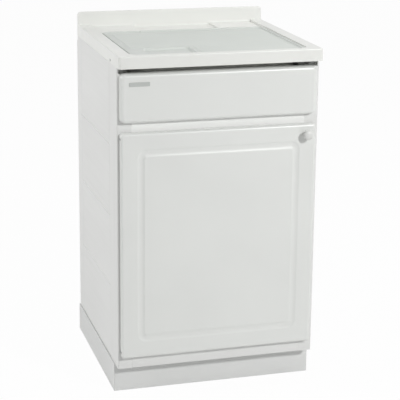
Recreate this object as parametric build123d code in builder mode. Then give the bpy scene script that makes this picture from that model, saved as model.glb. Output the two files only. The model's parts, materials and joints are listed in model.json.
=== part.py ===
"""Utility laundry sink: a moulded tub with a washboard lid on a plank-sided cabinet.

Frame: +Z up, the front faces -Y, +X is to the right seen from the front.
Origin: bottom centre of the whole object's box, on the floor. Lengths are in mm.
"""
import os
from math import asin, cos, radians, sin, tan

from build123d import *

os.makedirs("parts", exist_ok=True)

# ------------------------------------------------------------ overall sizes
WIDTH = 500.0              # over the tub and the cabinet
DEPTH = 500.0              # apron front to the backsplash's back
RIM_HEIGHT = 850.0         # floor to the tub's rim
SPLASH_HEIGHT = 35.0       # backsplash above the rim
PLINTH_HEIGHT = 72.0
OVERHANG = 26.0            # apron front to the front frame's face
FACE_PROUD = 18.0          # door and fascia faces, in front of the frame's face
FIT = 0.05                 # radial clearance of screws and pins in their holes
RUN = 0.4                  # clearance beside moving pieces
BEYOND = 1.0               # how far a cut runs past the surface that it opens
NEAR = 0.1                 # half width of the band in which an edge is picked

# ------------------------------------------------------------ tub
APRON_HEIGHT = 30.0
TUB_WALL = 4.0
TUB_CORNER = 6.0           # plan radius of the tub's outer corners
RIM_EDGE = 3.0             # rounding of the rim's outer edge
RIM_SIDE = 31.0            # rim width left and right of the lid recess
RIM_FRONT = 18.0
RECESS_DEPTH = 351.0       # lid recess, front to back
RECESS_CORNER = 24.0
LID_DROP = 5.0             # lid's field and the rear ledge, below the rim
LID_THICKNESS = 12.0
NICHE_WIDTH = 208.0        # lowered landing in the rear ledge
NICHE_CORNER = 8.0
NICHE_DROP = 4.0           # landing below the ledge
NICHE_COVE = 3.0
LEDGE_COVE = 4.0           # ledge's foot rounding at the backsplash
SPLASH_THICKNESS = 27.0
SPLASH_CORNER = 9.0        # rounding of the backsplash's upper corners
SPLASH_EDGE = 3.0
SPLASH_FALL = 4.0          # backsplash's top slopes down towards the rear
SPLASH_LEAN = 4.0          # backsplash's face leans back by this at its top
SHELF_SIDE = 12.0          # shelf that carries the lid
SHELF_FRONT = 38.0
SHELF_REAR = 34.0
BOWL_DEPTH = 243.0         # below the shelf
BOWL_CORNER = 46.0
BOWL_FLOOR_ROUND = 26.0
BOWL_SIDE_DRAFT = 18.0
BOWL_FRONT_DRAFT = 34.0
BOWL_LIP = 3.0

# ------------------------------------------------------------ lid
LID_GAP_LEFT = 5.5
LID_GAP = 1.5              # right, front and rear
LID_CORNER = 21.0
BEAD_WIDTH = 8.0           # raised border round the lid
BEAD_RISE = 3.0
BEAD_EDGE = 1.4
DRAIN_WIDTH = 4.0          # notches through the rear border
DRAINS_X = (-115.0, 105.0)
RIB_PITCH = 14.0           # washboard ribs run along X
RIB_HALF_WIDTH = 5.0
RIB_RISE = 2.0
RIB_ROOT = 0.5             # rib's foot, sunk into the lid
RIB_MARGIN = 20.0
SOAP_WIDTH = 115.0
SOAP_LENGTH = 86.0
SOAP_DEEP = 5.0
SOAP_CORNER = 10.0
SOAP_FROM_LEFT = 48.5
SOAP_FROM_FRONT = 17.5
SOAP_BORDER = 10.0         # soap recess to the shortened ribs

# ------------------------------------------------------------ cabinet
PANEL = 20.0               # planks, posts and rails
FRONT_POST_DEPTH = 84.0
FRONT_POST_WIDTH = 35.0    # the leg that faces the front
REAR_POST_DEPTH = 55.0
POST_ROUND = 4.0
POST_CHAMFER = 1.5
POST_SKIN = 4.5            # left standing outside the front posts' slot below the tub
NOTCH_HEIGHT = 12.0        # cut in the rear posts below the tub
NOTCH_DEPTH = 8.0
SEAM_FIRST = 189.0         # height of the lowest plank
SEAM_PITCH = 179.0
PLANKS = 4
SEAM_CHAMFER = 1.5
FASCIA_LAP = 11.0          # fascia's overlap on the middle rail
TOP_RAIL_DROP = 3.0        # fascia's top to the rail behind it; the slot above stays open
TOP_RAIL_HEIGHT = 34.0
DOOR_LAP = 10.0            # door's overlap on the middle rail
BOTTOM_RAIL_HEIGHT = 40.0
REAR_RAIL_HEIGHT = 60.0
FLOOR_THICKNESS = 16.0
BATTEN_WIDTH = 18.0
BATTEN_HEIGHT = 20.0
PLINTH_BOARD = 18.0
PLINTH_PROUD = 3.0         # plinth stands out past the cabinet's sides
PLINTH_SETBACK = 34.0      # plinth front behind the frame's face
BLOCK_SIDE = 28.0
BLOCK_HEIGHT = 56.0
BLOCK_LIFT = 8.0

# ------------------------------------------------------------ door and fascia
REVEAL_LEFT = 5.5          # cabinet edge to door and fascia edge
REVEAL_RIGHT = 11.5
DOOR_LIFT = 32.0           # plinth's top to the door
FRONT_GAP = 24.0           # between the door and the fascia
DOOR_GAP = 2.0             # between the door's back and the frame
DOOR_EDGE = 6.0
DOOR_CORNER = 7.0
FASCIA_HEIGHT = 118.0
FASCIA_DROP = 13.0         # tub's lower edge to the fascia
FASCIA_EDGE = 9.0
FASCIA_CORNER = 12.0
GROOVE_INSET = 48.5        # door edge to the groove's centre line
GROOVE_HALF = 10.0
GROOVE_DEEP = 2.5
GROOVE_CORNER = 14.0
KNOB_REACH = 24.0
KNOB_RADIUS = 12.5
KNOB_CROWN = 11.8          # head's radius where its side meets the dome
KNOB_DOME = 5.0            # height of the domed front
KNOB_BASE = 8.5
KNOB_NECK = 6.5
KNOB_NECK_REACH = 8.0
KNOB_HEAD_REACH = 14.0
KNOB_FROM_RIGHT = 24.0
KNOB_DOWN = 23.5
PLATE_WIDTH = 50.0         # blank plate on the fascia
PLATE_HEIGHT = 10.0
PLATE_THICKNESS = 1.0
PLATE_ROUND = 2.0
PLATE_LEFT = 20.0
PLATE_DOWN = 20.0

# ------------------------------------------------------------ hinges, catch, screws
DOOR_SWING = 100.0         # degrees
PIN_INSET = 5.0            # pin axis inside the door's left edge
PIN_RADIUS = 1.75
PIN_LENGTH = 27.0
PIN_SINK = 1.0
TAB_WIDTH = 6.0
TAB_THICKNESS = 4.0
TAB_FROM_END = 14.0        # tab centre inside the door's end
EYE_RADIUS = 4.0
LEAF_WIDTH = 22.0
LEAF_HEIGHT = 46.0
LEAF_THICKNESS = 2.5
SCREW_RADIUS = 1.75
SCREW_HEAD = 3.5
SCREW_HEAD_HEIGHT = 2.0
LEAF_SCREW_LENGTH = 14.0
LEAF_SCREW_FIRST = 12.0
LEAF_SCREW_PITCH = 22.0
CATCH_WIDTH = 45.0
CATCH_HEIGHT = 14.0
CATCH_DEPTH = 16.0
CATCH_AIR = 0.3            # between the catch and the strike plate
CATCH_FROM_EDGE = 36.0
CATCH_ROUND = 2.0
STRIKE_THICKNESS = 1.4
STRIKE_MARGIN = 1.0
BUMPER_RADIUS = 5.0
BUMPER_INSET = 14.0
BUMPER_AIR = 0.1
FASCIA_SCREW_X = 150.0
FASCIA_SCREW_BITE = 11.0
TUB_SCREW_LENGTH = 20.0
TUB_SCREW_UP = 6.0         # above the skirt's lower edge
TUB_SCREW_FRONT = 94.0     # behind the apron
BRACKET_REAR = 48.0        # rear brackets' middle, in front of the tub's back
BRACKET_LENGTH = 30.0
BRACKET_LEG = 16.0
BRACKET_DROP = 35.0
BRACKET_RISE = 24.0
BRACKET_AIR = 2.0          # bracket to the lid recess's outside wall

# ------------------------------------------------------------ waste, trap, overflow
WASTE_HOLE = 22.5
STRAINER_RADIUS = 35.0
STRAINER_THICKNESS = 2.5
STRAINER_ROUND = 1.5
STRAINER_NECK = 21.5
STRAINER_BORE = 18.5
STRAINER_DEPTH = 18.0
STRAINER_WEB = 3.0
STRAINER_HOLE = 3.5
STRAINER_HOLES = 6
STRAINER_HOLE_RING = 12.0
SEAL_THICKNESS = 3.0
WASTE_FLANGE = 33.0
WASTE_FLANGE_HEIGHT = 4.0
WASTE_RADIUS = 28.0
WASTE_HEIGHT = 36.0
WASTE_WALL = 3.0
WASTE_BAR = 10.0
SPIGOT_RADIUS = 20.0
SPIGOT_WALL = 2.0
SPIGOT_LENGTH = 110.0
CENTRE_SCREW_RADIUS = 3.0
CENTRE_SCREW_HEAD = 6.0
PLUG_AIR = 0.3             # plug's upper edge in the strainer's bore
PLUG_TAPER = 1.5
PLUG_LIFT = 2.0            # plug's top above the strainer
PLUG_HEIGHT = 12.0
PLUG_TAB_WIDTH = 14.0
PLUG_TAB_HEIGHT = 14.0
PLUG_TAB_THICKNESS = 3.0
PLUG_TAB_ROUND = 5.0
PLUG_TAB_SINK = 1.0
BOTTLE_RADIUS = 32.0
BOTTLE_WALL = 3.0
BOTTLE_HEIGHT = 104.0
BOTTLE_DROP = 42.0         # below the waste body
COLLAR_RADIUS = 25.0
COLLAR_HEIGHT = 14.0
NUT_RADIUS = 29.0
NUT_SIDES = 12
NUT_AIR = 4.0              # nut's lower edge above the bottle's shoulder
NUT_LIP = 4.0
CUP_RADIUS = 37.0
CUP_HEIGHT = 30.0
CUP_GRIP = 12.0            # cup's overlap on the bottle
SOCKET_RADIUS = 24.0
SOCKET_LENGTH = 24.0
OUTLET_DOWN = 30.0         # outlet axis below the bottle's shoulder
OUTLET_RADIUS = 20.0
OUTLET_WALL = 2.2
OUTLET_INSERT = 18.0
OUTLET_FREE_END = 40.0     # from the insertion mark to the pipe's end
MARK_WIDTH = 1.0
MARK_DEPTH = 0.4
OVERFLOW_DOWN = 35.0       # overflow centre below the shelf
OVERFLOW_HOLE = 14.0
ROSETTE_RADIUS = 21.0
ROSETTE_THICKNESS = 3.0
ROSETTE_ROUND = 1.8
ROSETTE_SLOT_LENGTH = 20.0
ROSETTE_SLOT = 3.0
ROSETTE_SLOTS = 3
PIPE_RADIUS = 12.0
PIPE_WALL = 2.0
PIPE_BEND = 30.0
PIPE_BACK = 44.0           # pipe's drop behind the bowl
INLET_LENGTH = 18.0
INLET_UP = 16.0            # inlet axis above the waste body's floor

# ------------------------------------------------------------ derived places
KNOB_PROUD = KNOB_REACH + FACE_PROUD - OVERHANG     # knob past the apron
APRON_Y = -(DEPTH - KNOB_PROUD) / 2
REAR_Y = APRON_Y + DEPTH
MIDDLE_Y = APRON_Y + DEPTH / 2
FRAME_Y = APRON_Y + OVERHANG
FACE_Y = FRAME_Y - FACE_PROUD
SIDE_X = WIDTH / 2
INNER_X = SIDE_X - PANEL
SKIRT_Z = RIM_HEIGHT - APRON_HEIGHT
LID_TOP_Z = RIM_HEIGHT - LID_DROP
SHELF_Z = LID_TOP_Z - LID_THICKNESS
PAN_Z = SHELF_Z - TUB_WALL                          # underside of the shelf
RECESS_X = SIDE_X - RIM_SIDE
RECESS_FRONT_Y = APRON_Y + RIM_FRONT
RECESS_REAR_Y = RECESS_FRONT_Y + RECESS_DEPTH
RECESS_MID_Y = (RECESS_FRONT_Y + RECESS_REAR_Y) / 2
SPLASH_Y = REAR_Y - SPLASH_THICKNESS                # backsplash's front face
BOWL_X = RECESS_X - SHELF_SIDE
BOWL_FRONT_Y = RECESS_FRONT_Y + SHELF_FRONT
BOWL_REAR_Y = RECESS_REAR_Y - SHELF_REAR
BOWL_FLOOR_Z = SHELF_Z - BOWL_DEPTH
WASTE_Y = (BOWL_FRONT_Y + BOWL_FRONT_DRAFT + BOWL_REAR_Y) / 2
DOOR_LEFT = -SIDE_X + REVEAL_LEFT
DOOR_RIGHT = SIDE_X - REVEAL_RIGHT
DOOR_X = (DOOR_LEFT + DOOR_RIGHT) / 2
DOOR_WIDTH = DOOR_RIGHT - DOOR_LEFT
DOOR_THICKNESS = FACE_PROUD - DOOR_GAP
DOOR_BACK_Y = FRAME_Y - DOOR_GAP
RAIL_WIDTH = WIDTH - 2 * FRONT_POST_WIDTH
RAIL_BACK_Y = FRAME_Y + PANEL
POST_END_Y = FRAME_Y + FRONT_POST_DEPTH
REAR_POST_Y = REAR_Y - REAR_POST_DEPTH
PIN_X = DOOR_LEFT + PIN_INSET
PIN_Y = FACE_Y + DOOR_THICKNESS / 2
FLOOR_TOP_Z = PLINTH_HEIGHT + BOTTOM_RAIL_HEIGHT
FASCIA_TOP = SKIRT_Z - FASCIA_DROP
FASCIA_BOTTOM = FASCIA_TOP - FASCIA_HEIGHT
DOOR_TOP = FASCIA_BOTTOM - FRONT_GAP
DOOR_BOTTOM = PLINTH_HEIGHT + DOOR_LIFT
TOP_RAIL_Z = FASCIA_TOP - TOP_RAIL_DROP
RAIL_Z = {"top": (TOP_RAIL_Z - TOP_RAIL_HEIGHT, TOP_RAIL_Z),
          "mid": (DOOR_TOP - DOOR_LAP, FASCIA_BOTTOM + FASCIA_LAP),
          "bottom": (PLINTH_HEIGHT, FLOOR_TOP_Z)}
PLINTH_Y = FRAME_Y + PLINTH_SETBACK
PLINTH_X = SIDE_X + PLINTH_PROUD
SIDES = {"left": -1, "right": 1}


def box_between(x, y, z, mode=Mode.ADD):
    """Box given by its two x, two y and two z limits."""
    with Locations(((x[0] + x[1]) / 2, (y[0] + y[1]) / 2, (z[0] + z[1]) / 2)):
        Box(abs(x[1] - x[0]), abs(y[1] - y[0]), abs(z[1] - z[0]), mode=mode)


def save(builder, name):
    builder.part.label = name
    export_step(builder.part, f"parts/{name}.step")


# ------------------------------------------------------------ tub
def bowl_shape(grow, floor_z, round_floor):
    """Drafted bowl between the shelf and floor_z; its rear wall is upright."""
    with BuildPart() as bowl:
        with BuildSketch(Plane.XY.offset(SHELF_Z)):
            with Locations((0, (BOWL_FRONT_Y + BOWL_REAR_Y) / 2)):
                RectangleRounded(2 * (BOWL_X + grow), BOWL_REAR_Y - BOWL_FRONT_Y + 2 * grow,
                                 BOWL_CORNER + grow)
        with BuildSketch(Plane.XY.offset(floor_z)):
            with Locations((0, WASTE_Y)):
                RectangleRounded(2 * (BOWL_X - BOWL_SIDE_DRAFT + grow),
                                 BOWL_REAR_Y - BOWL_FRONT_Y - BOWL_FRONT_DRAFT + 2 * grow,
                                 BOWL_CORNER + grow)
        loft()
        fillet(bowl.edges().group_by(Axis.Z)[0], radius=round_floor)
    return bowl.part


bowl_form = bowl_shape(TUB_WALL, BOWL_FLOOR_Z - TUB_WALL, BOWL_FLOOR_ROUND + TUB_WALL)
bowl_hollow = bowl_shape(0, BOWL_FLOOR_Z, BOWL_FLOOR_ROUND)
TUB_SCREW_Y = APRON_Y + TUB_SCREW_FRONT
TUB_SCREW_SPOTS = [(side * SIDE_X, TUB_SCREW_Y, SKIRT_Z + TUB_SCREW_UP)
                   for side in SIDES.values()]
OVERFLOW_Z = SHELF_Z - OVERFLOW_DOWN
NICHE_Z = LID_TOP_Z - NICHE_DROP
LEDGE_Y = (RECESS_REAR_Y - 2 * RECESS_CORNER, SPLASH_Y)     # from inside the lid recess

with BuildPart() as ledge_hollow:
    box_between((-RECESS_X, RECESS_X), LEDGE_Y, (LID_TOP_Z, RIM_HEIGHT + BEYOND))
    fillet(ledge_hollow.edges().filter_by(Axis.X).group_by(Axis.Z)[0].sort_by(Axis.Y)[-1],
           radius=LEDGE_COVE)

with BuildPart() as niche_hollow:
    box_between((-NICHE_WIDTH / 2, NICHE_WIDTH / 2), LEDGE_Y, (NICHE_Z, RIM_HEIGHT + BEYOND))
    fillet(niche_hollow.edges().filter_by(Axis.Z).group_by(Axis.Y)[-1], radius=NICHE_CORNER)
    foot = (niche_hollow.edges().group_by(Axis.Z)[0]
            .filter_by(lambda e: e.center().Y > LEDGE_Y[0] + NEAR))
    fillet(foot, radius=NICHE_COVE)

with BuildPart() as backsplash:
    with BuildSketch(Plane.YZ.offset(-SIDE_X)):
        with BuildLine():
            Polyline((REAR_Y, RIM_HEIGHT), (SPLASH_Y, RIM_HEIGHT),
                     (SPLASH_Y + SPLASH_LEAN, RIM_HEIGHT + SPLASH_HEIGHT),
                     (REAR_Y, RIM_HEIGHT + SPLASH_HEIGHT - SPLASH_FALL), close=True)
        make_face()
    extrude(amount=WIDTH)
    top_corners = backsplash.edges().filter_by(
        lambda e: abs(e.center().X) > SIDE_X - NEAR
        and e.center().Z > RIM_HEIGHT + SPLASH_HEIGHT - SPLASH_FALL)
    fillet(top_corners, radius=SPLASH_CORNER)
    rear_uprights = backsplash.edges().filter_by(Axis.Z).group_by(Axis.Y)[-1]
    fillet(rear_uprights, radius=TUB_CORNER)
    front_top = backsplash.edges().filter_by(Axis.X).group_by(Axis.Z)[-1]
    fillet(front_top, radius=SPLASH_EDGE)

with BuildPart() as tub:
    # apron and rim, with the backsplash on top
    with BuildSketch(Plane.XY.offset(SKIRT_Z)):
        with Locations((0, MIDDLE_Y)):
            RectangleRounded(WIDTH, DEPTH, TUB_CORNER)
    extrude(amount=APRON_HEIGHT)
    add(backsplash.part)
    front_rim = (tub.edges().filter_by_position(Axis.Z, RIM_HEIGHT - NEAR, RIM_HEIGHT + NEAR)
                 .filter_by(lambda e: e.center().Y < APRON_Y + TUB_CORNER + NEAR))
    fillet(front_rim, radius=RIM_EDGE)
    # hollow under the rim, then the pan that holds the lid, the rear ledge and its landing
    with BuildSketch(Plane.XY.offset(SKIRT_Z)):
        with Locations((0, MIDDLE_Y)):
            RectangleRounded(WIDTH - 2 * TUB_WALL, DEPTH - 2 * TUB_WALL, TUB_CORNER - TUB_WALL)
    extrude(amount=APRON_HEIGHT - TUB_WALL, mode=Mode.SUBTRACT)
    box_between((-RECESS_X - TUB_WALL, RECESS_X + TUB_WALL),
                (RECESS_FRONT_Y - TUB_WALL, RECESS_REAR_Y + TUB_WALL),
                (PAN_Z, RIM_HEIGHT - TUB_WALL / 2))
    for half_width, floor_z in ((RECESS_X, LID_TOP_Z), (NICHE_WIDTH / 2, NICHE_Z)):
        box_between((-half_width - TUB_WALL, half_width + TUB_WALL),
                    (RECESS_REAR_Y, SPLASH_Y + TUB_WALL),
                    (floor_z - TUB_WALL, RIM_HEIGHT - TUB_WALL / 2))
    add(bowl_form)
    # lid recess, ledge, landing and bowl
    with BuildSketch(Plane.XY.offset(SHELF_Z)):
        with Locations((0, RECESS_MID_Y)):
            RectangleRounded(2 * RECESS_X, RECESS_DEPTH, RECESS_CORNER)
    extrude(amount=RIM_HEIGHT - SHELF_Z + BEYOND, mode=Mode.SUBTRACT)
    add(ledge_hollow.part, mode=Mode.SUBTRACT)
    add(niche_hollow.part, mode=Mode.SUBTRACT)
    add(bowl_hollow, mode=Mode.SUBTRACT)
    lip = (tub.edges().filter_by_position(Axis.Z, SHELF_Z - NEAR, SHELF_Z + NEAR)
           .filter_by(lambda e: abs(e.center().X) < BOWL_X + NEAR
                      and BOWL_FRONT_Y - NEAR < e.center().Y < BOWL_REAR_Y + NEAR))
    fillet(lip, radius=BOWL_LIP)
    # holes: waste, overflow, tub screws
    with Locations((0, WASTE_Y, BOWL_FLOOR_Z)):
        Cylinder(WASTE_HOLE, 2 * TUB_WALL + BEYOND, mode=Mode.SUBTRACT)
    with Locations(Location((0, BOWL_REAR_Y, OVERFLOW_Z), (90, 0, 0))):
        Cylinder(OVERFLOW_HOLE + FIT, 2 * TUB_WALL + BEYOND, mode=Mode.SUBTRACT)
    for x, y, z in TUB_SCREW_SPOTS:
        side = 1 if x > 0 else -1
        with Locations(Plane(origin=(x, y, z), z_dir=(side, 0, 0))):
            CounterSinkHole(SCREW_RADIUS + FIT, SCREW_HEAD + FIT, depth=TUB_WALL + BEYOND)
save(tub, "tub")

# ------------------------------------------------------------ washboard lid
LID_LEFT = -RECESS_X + LID_GAP_LEFT
LID_RIGHT = RECESS_X - LID_GAP
LID_X = (LID_LEFT + LID_RIGHT) / 2
LID_WIDTH = LID_RIGHT - LID_LEFT
LID_LENGTH = RECESS_DEPTH - 2 * LID_GAP
LID_FRONT_Y = RECESS_FRONT_Y + LID_GAP
SOAP_X = LID_LEFT + SOAP_FROM_LEFT + SOAP_WIDTH / 2
SOAP_Y = LID_FRONT_Y + SOAP_FROM_FRONT + SOAP_LENGTH / 2
RIB_FIRST_Y = LID_FRONT_Y + RIB_MARGIN
RIB_COUNT = int((LID_LENGTH - 2 * RIB_MARGIN) / RIB_PITCH) + 1

with BuildPart() as washboard_lid:
    with BuildSketch(Plane.XY.offset(SHELF_Z)):
        with Locations((LID_X, RECESS_MID_Y)):
            RectangleRounded(LID_WIDTH, LID_LENGTH, LID_CORNER)
    extrude(amount=LID_THICKNESS + BEAD_RISE)
    with BuildSketch(Plane.XY.offset(LID_TOP_Z)):
        with Locations((LID_X, RECESS_MID_Y)):
            RectangleRounded(LID_WIDTH - 2 * BEAD_WIDTH, LID_LENGTH - 2 * BEAD_WIDTH,
                             LID_CORNER - BEAD_WIDTH)
    extrude(amount=BEAD_RISE, mode=Mode.SUBTRACT)
    fillet(washboard_lid.edges().group_by(Axis.Z)[-1], radius=BEAD_EDGE)
    for drain_x in DRAINS_X:
        box_between((drain_x - DRAIN_WIDTH / 2, drain_x + DRAIN_WIDTH / 2),
                    (LID_FRONT_Y + LID_LENGTH - BEAD_WIDTH, LID_FRONT_Y + LID_LENGTH),
                    (LID_TOP_Z, LID_TOP_Z + BEAD_RISE), mode=Mode.SUBTRACT)
    for i in range(RIB_COUNT):
        rib_y = RIB_FIRST_Y + i * RIB_PITCH
        beside_soap = rib_y < SOAP_Y + SOAP_LENGTH / 2 + RIB_PITCH
        rib_left = SOAP_X + SOAP_WIDTH / 2 + SOAP_BORDER if beside_soap else LID_LEFT + RIB_MARGIN
        with BuildSketch(Plane.YZ.offset(rib_left)):
            with BuildLine():
                ThreePointArc((rib_y - RIB_HALF_WIDTH, LID_TOP_Z),
                              (rib_y, LID_TOP_Z + RIB_RISE),
                              (rib_y + RIB_HALF_WIDTH, LID_TOP_Z))
                Polyline((rib_y + RIB_HALF_WIDTH, LID_TOP_Z),
                         (rib_y + RIB_HALF_WIDTH, LID_TOP_Z - RIB_ROOT),
                         (rib_y - RIB_HALF_WIDTH, LID_TOP_Z - RIB_ROOT),
                         (rib_y - RIB_HALF_WIDTH, LID_TOP_Z))
            make_face()
        extrude(amount=LID_RIGHT - RIB_MARGIN - rib_left)
    with BuildSketch(Plane.XY.offset(LID_TOP_Z - SOAP_DEEP)):
        with Locations((SOAP_X, SOAP_Y)):
            RectangleRounded(SOAP_WIDTH, SOAP_LENGTH, SOAP_CORNER)
    extrude(amount=SOAP_DEEP + BEYOND, mode=Mode.SUBTRACT)
save(washboard_lid, "washboard_lid")

# ------------------------------------------------------------ side walls
SEAMS_Z = ([PLINTH_HEIGHT]
           + [PLINTH_HEIGHT + SEAM_FIRST + i * SEAM_PITCH for i in range(PLANKS - 1)]
           + [SKIRT_Z])
LEAF_Z = {"upper": DOOR_TOP - TAB_FROM_END, "lower": DOOR_BOTTOM + TAB_FROM_END}
LEAF_AWAY = {"upper": -1, "lower": 1}      # the leaf runs from its tab into the door's height
LEAF_X = (DOOR_LEFT, DOOR_LEFT + LEAF_WIDTH)
LEAF_Y = (FRAME_Y, FRAME_Y + LEAF_THICKNESS)


def leaf_limits(which):
    """z limits of a hinge leaf: it starts at its tab's outer face."""
    start = LEAF_Z[which] - LEAF_AWAY[which] * TAB_THICKNESS / 2
    return sorted((start, start + LEAF_AWAY[which] * LEAF_HEIGHT))


def leaf_screw_spots(which):
    """Centres of a leaf's two screws on the frame's face."""
    return [(DOOR_LEFT + LEAF_WIDTH / 2, FRAME_Y, LEAF_Z[which] + LEAF_AWAY[which] * d)
            for d in (LEAF_SCREW_FIRST, LEAF_SCREW_FIRST + LEAF_SCREW_PITCH)]


for name, side in SIDES.items():
    outer_x = side * SIDE_X
    inner_x = side * INNER_X
    for i in range(PLANKS):
        with BuildPart() as plank:
            box_between((outer_x, inner_x), (POST_END_Y, REAR_POST_Y), (SEAMS_Z[i], SEAMS_Z[i + 1]))
            outside = plank.faces().filter_by(Plane.YZ).sort_by(Axis.X)[-1 if side > 0 else 0]
            chamfer(outside.edges().filter_by(Axis.Y), length=SEAM_CHAMFER)
        save(plank, f"{name}_side_plank_{i + 1}")

    with BuildPart() as front_post:
        with BuildSketch(Plane.XY.offset(PLINTH_HEIGHT)):
            with BuildLine():
                Polyline((outer_x, FRAME_Y), (outer_x - side * FRONT_POST_WIDTH, FRAME_Y),
                         (outer_x - side * FRONT_POST_WIDTH, RAIL_BACK_Y), (inner_x, RAIL_BACK_Y),
                         (inner_x, POST_END_Y), (outer_x, POST_END_Y), close=True)
            make_face()
        extrude(amount=SKIRT_Z - PLINTH_HEIGHT)
        uprights = front_post.edges().filter_by(Axis.Z)
        fillet(uprights.filter_by_position(Axis.Y, FRAME_Y - NEAR, FRAME_Y + NEAR)
               .sort_by(Axis.X)[-1 if side > 0 else 0], radius=POST_ROUND)
        chamfer(front_post.edges().filter_by(Axis.Z)
                .filter_by_position(Axis.Y, POST_END_Y - NEAR, POST_END_Y + NEAR)
                .sort_by(Axis.X)[-1 if side > 0 else 0], length=POST_CHAMFER)
        box_between((outer_x - side * POST_SKIN, outer_x - side * FRONT_POST_WIDTH),
                    (FRAME_Y, RAIL_BACK_Y), (TOP_RAIL_Z, SKIRT_Z), mode=Mode.SUBTRACT)
        if name == "left":
            for which in LEAF_Z:
                box_between(LEAF_X, LEAF_Y, leaf_limits(which), mode=Mode.SUBTRACT)
                for spot in leaf_screw_spots(which):
                    with Locations(Plane(origin=spot, z_dir=(0, -1, 0))):
                        Hole(SCREW_RADIUS + FIT, depth=LEAF_SCREW_LENGTH + FIT)
    save(front_post, f"{name}_front_post")

    with BuildPart() as rear_post:
        box_between((outer_x, inner_x), (REAR_POST_Y, REAR_Y), (PLINTH_HEIGHT, SKIRT_Z))
        outside_edges = (rear_post.edges().filter_by(Axis.Z)
                         .sort_by(Axis.X)[-2:] if side > 0
                         else rear_post.edges().filter_by(Axis.Z).sort_by(Axis.X)[:2])
        chamfer(outside_edges, length=POST_CHAMFER)
        box_between((outer_x, inner_x), (REAR_Y - NOTCH_DEPTH, REAR_Y),
                    (SKIRT_Z - NOTCH_HEIGHT, SKIRT_Z), mode=Mode.SUBTRACT)
    save(rear_post, f"{name}_rear_post")

    with BuildPart() as batten:
        box_between((inner_x, inner_x - side * BATTEN_WIDTH), (POST_END_Y, REAR_POST_Y),
                    (FLOOR_TOP_Z - FLOOR_THICKNESS - BATTEN_HEIGHT, FLOOR_TOP_Z - FLOOR_THICKNESS))
    save(batten, f"{name}_floor_batten")

    with BuildPart() as plinth_side:
        box_between((side * PLINTH_X, side * (PLINTH_X - PLINTH_BOARD)),
                    (PLINTH_Y + PLINTH_BOARD, REAR_Y), (0, PLINTH_HEIGHT))
    save(plinth_side, f"plinth_{name}")

# ------------------------------------------------------------ rails, floor, plinth ends
FASCIA_SCREW_Z = {"top": TOP_RAIL_Z - TOP_RAIL_HEIGHT / 2, "mid": FASCIA_BOTTOM + FASCIA_LAP / 2}
for where, limits in RAIL_Z.items():
    with BuildPart() as rail:
        box_between((-RAIL_WIDTH / 2, RAIL_WIDTH / 2), (FRAME_Y, RAIL_BACK_Y), limits)
        if where in FASCIA_SCREW_Z:
            for side in SIDES.values():
                with Locations(Plane(origin=(side * FASCIA_SCREW_X, RAIL_BACK_Y,
                                             FASCIA_SCREW_Z[where]), z_dir=(0, 1, 0))):
                    Hole(SCREW_RADIUS + FIT, depth=PANEL)
    save(rail, f"front_{where}_rail")

REAR_RAIL_Z = {"top": (SKIRT_Z - NOTCH_HEIGHT - REAR_RAIL_HEIGHT, SKIRT_Z - NOTCH_HEIGHT),
               "bottom": (PLINTH_HEIGHT, FLOOR_TOP_Z)}
for where, limits in REAR_RAIL_Z.items():
    with BuildPart() as rear_rail:
        box_between((-INNER_X, INNER_X), (REAR_Y - PANEL, REAR_Y), limits)
    save(rear_rail, f"rear_{where}_rail")

with BuildPart() as floor_panel:
    box_between((-INNER_X, INNER_X), (RAIL_BACK_Y, REAR_Y - PANEL),
                (FLOOR_TOP_Z - FLOOR_THICKNESS, FLOOR_TOP_Z))
save(floor_panel, "floor_panel")

with BuildPart() as plinth_front:
    box_between((-PLINTH_X, PLINTH_X), (PLINTH_Y, PLINTH_Y + PLINTH_BOARD), (0, PLINTH_HEIGHT))
    chamfer(plinth_front.edges().filter_by(Axis.Z).group_by(Axis.Y)[0], length=POST_CHAMFER)
save(plinth_front, "plinth_front")

with BuildPart() as plinth_rear:
    box_between((-PLINTH_X + PLINTH_BOARD, PLINTH_X - PLINTH_BOARD),
                (REAR_Y - PLINTH_BOARD, REAR_Y), (0, PLINTH_HEIGHT))
save(plinth_rear, "plinth_rear")

with BuildPart() as plinth_corner_blocks:
    for side in SIDES.values():
        block_x = (side * (PLINTH_X - PLINTH_BOARD), side * (PLINTH_X - PLINTH_BOARD - BLOCK_SIDE))
        for start, turn in ((PLINTH_Y + PLINTH_BOARD, 1), (REAR_Y - PLINTH_BOARD, -1)):
            box_between(block_x, (start, start + turn * BLOCK_SIDE),
                        (BLOCK_LIFT, BLOCK_LIFT + BLOCK_HEIGHT))
save(plinth_corner_blocks, "plinth_corner_blocks")

# ------------------------------------------------------------ tub brackets and their screws
BRACKET_WALL_X = RECESS_X + TUB_WALL + BRACKET_AIR
SKIRT_INNER_X = SIDE_X - TUB_WALL
with BuildPart() as tub_brackets:
    for side in SIDES.values():
        for y in (TUB_SCREW_Y, REAR_Y - BRACKET_REAR):
            with BuildSketch(Plane.XZ.offset(-(y + BRACKET_LENGTH / 2))):
                with BuildLine():
                    Polyline((side * INNER_X, SKIRT_Z - BRACKET_DROP),
                             (side * (INNER_X - BRACKET_LEG), SKIRT_Z - BRACKET_DROP),
                             (side * (INNER_X - BRACKET_LEG), SKIRT_Z),
                             (side * BRACKET_WALL_X, SKIRT_Z),
                             (side * BRACKET_WALL_X, SKIRT_Z + BRACKET_RISE),
                             (side * SKIRT_INNER_X, SKIRT_Z + BRACKET_RISE),
                             (side * SKIRT_INNER_X, SKIRT_Z),
                             (side * INNER_X, SKIRT_Z), close=True)
                make_face()
            extrude(amount=BRACKET_LENGTH)
        with Locations(Plane(origin=(side * SKIRT_INNER_X, TUB_SCREW_Y, SKIRT_Z + TUB_SCREW_UP),
                             z_dir=(side, 0, 0))):
            Hole(SCREW_RADIUS + FIT, depth=TUB_SCREW_LENGTH - TUB_WALL + FIT)
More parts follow.
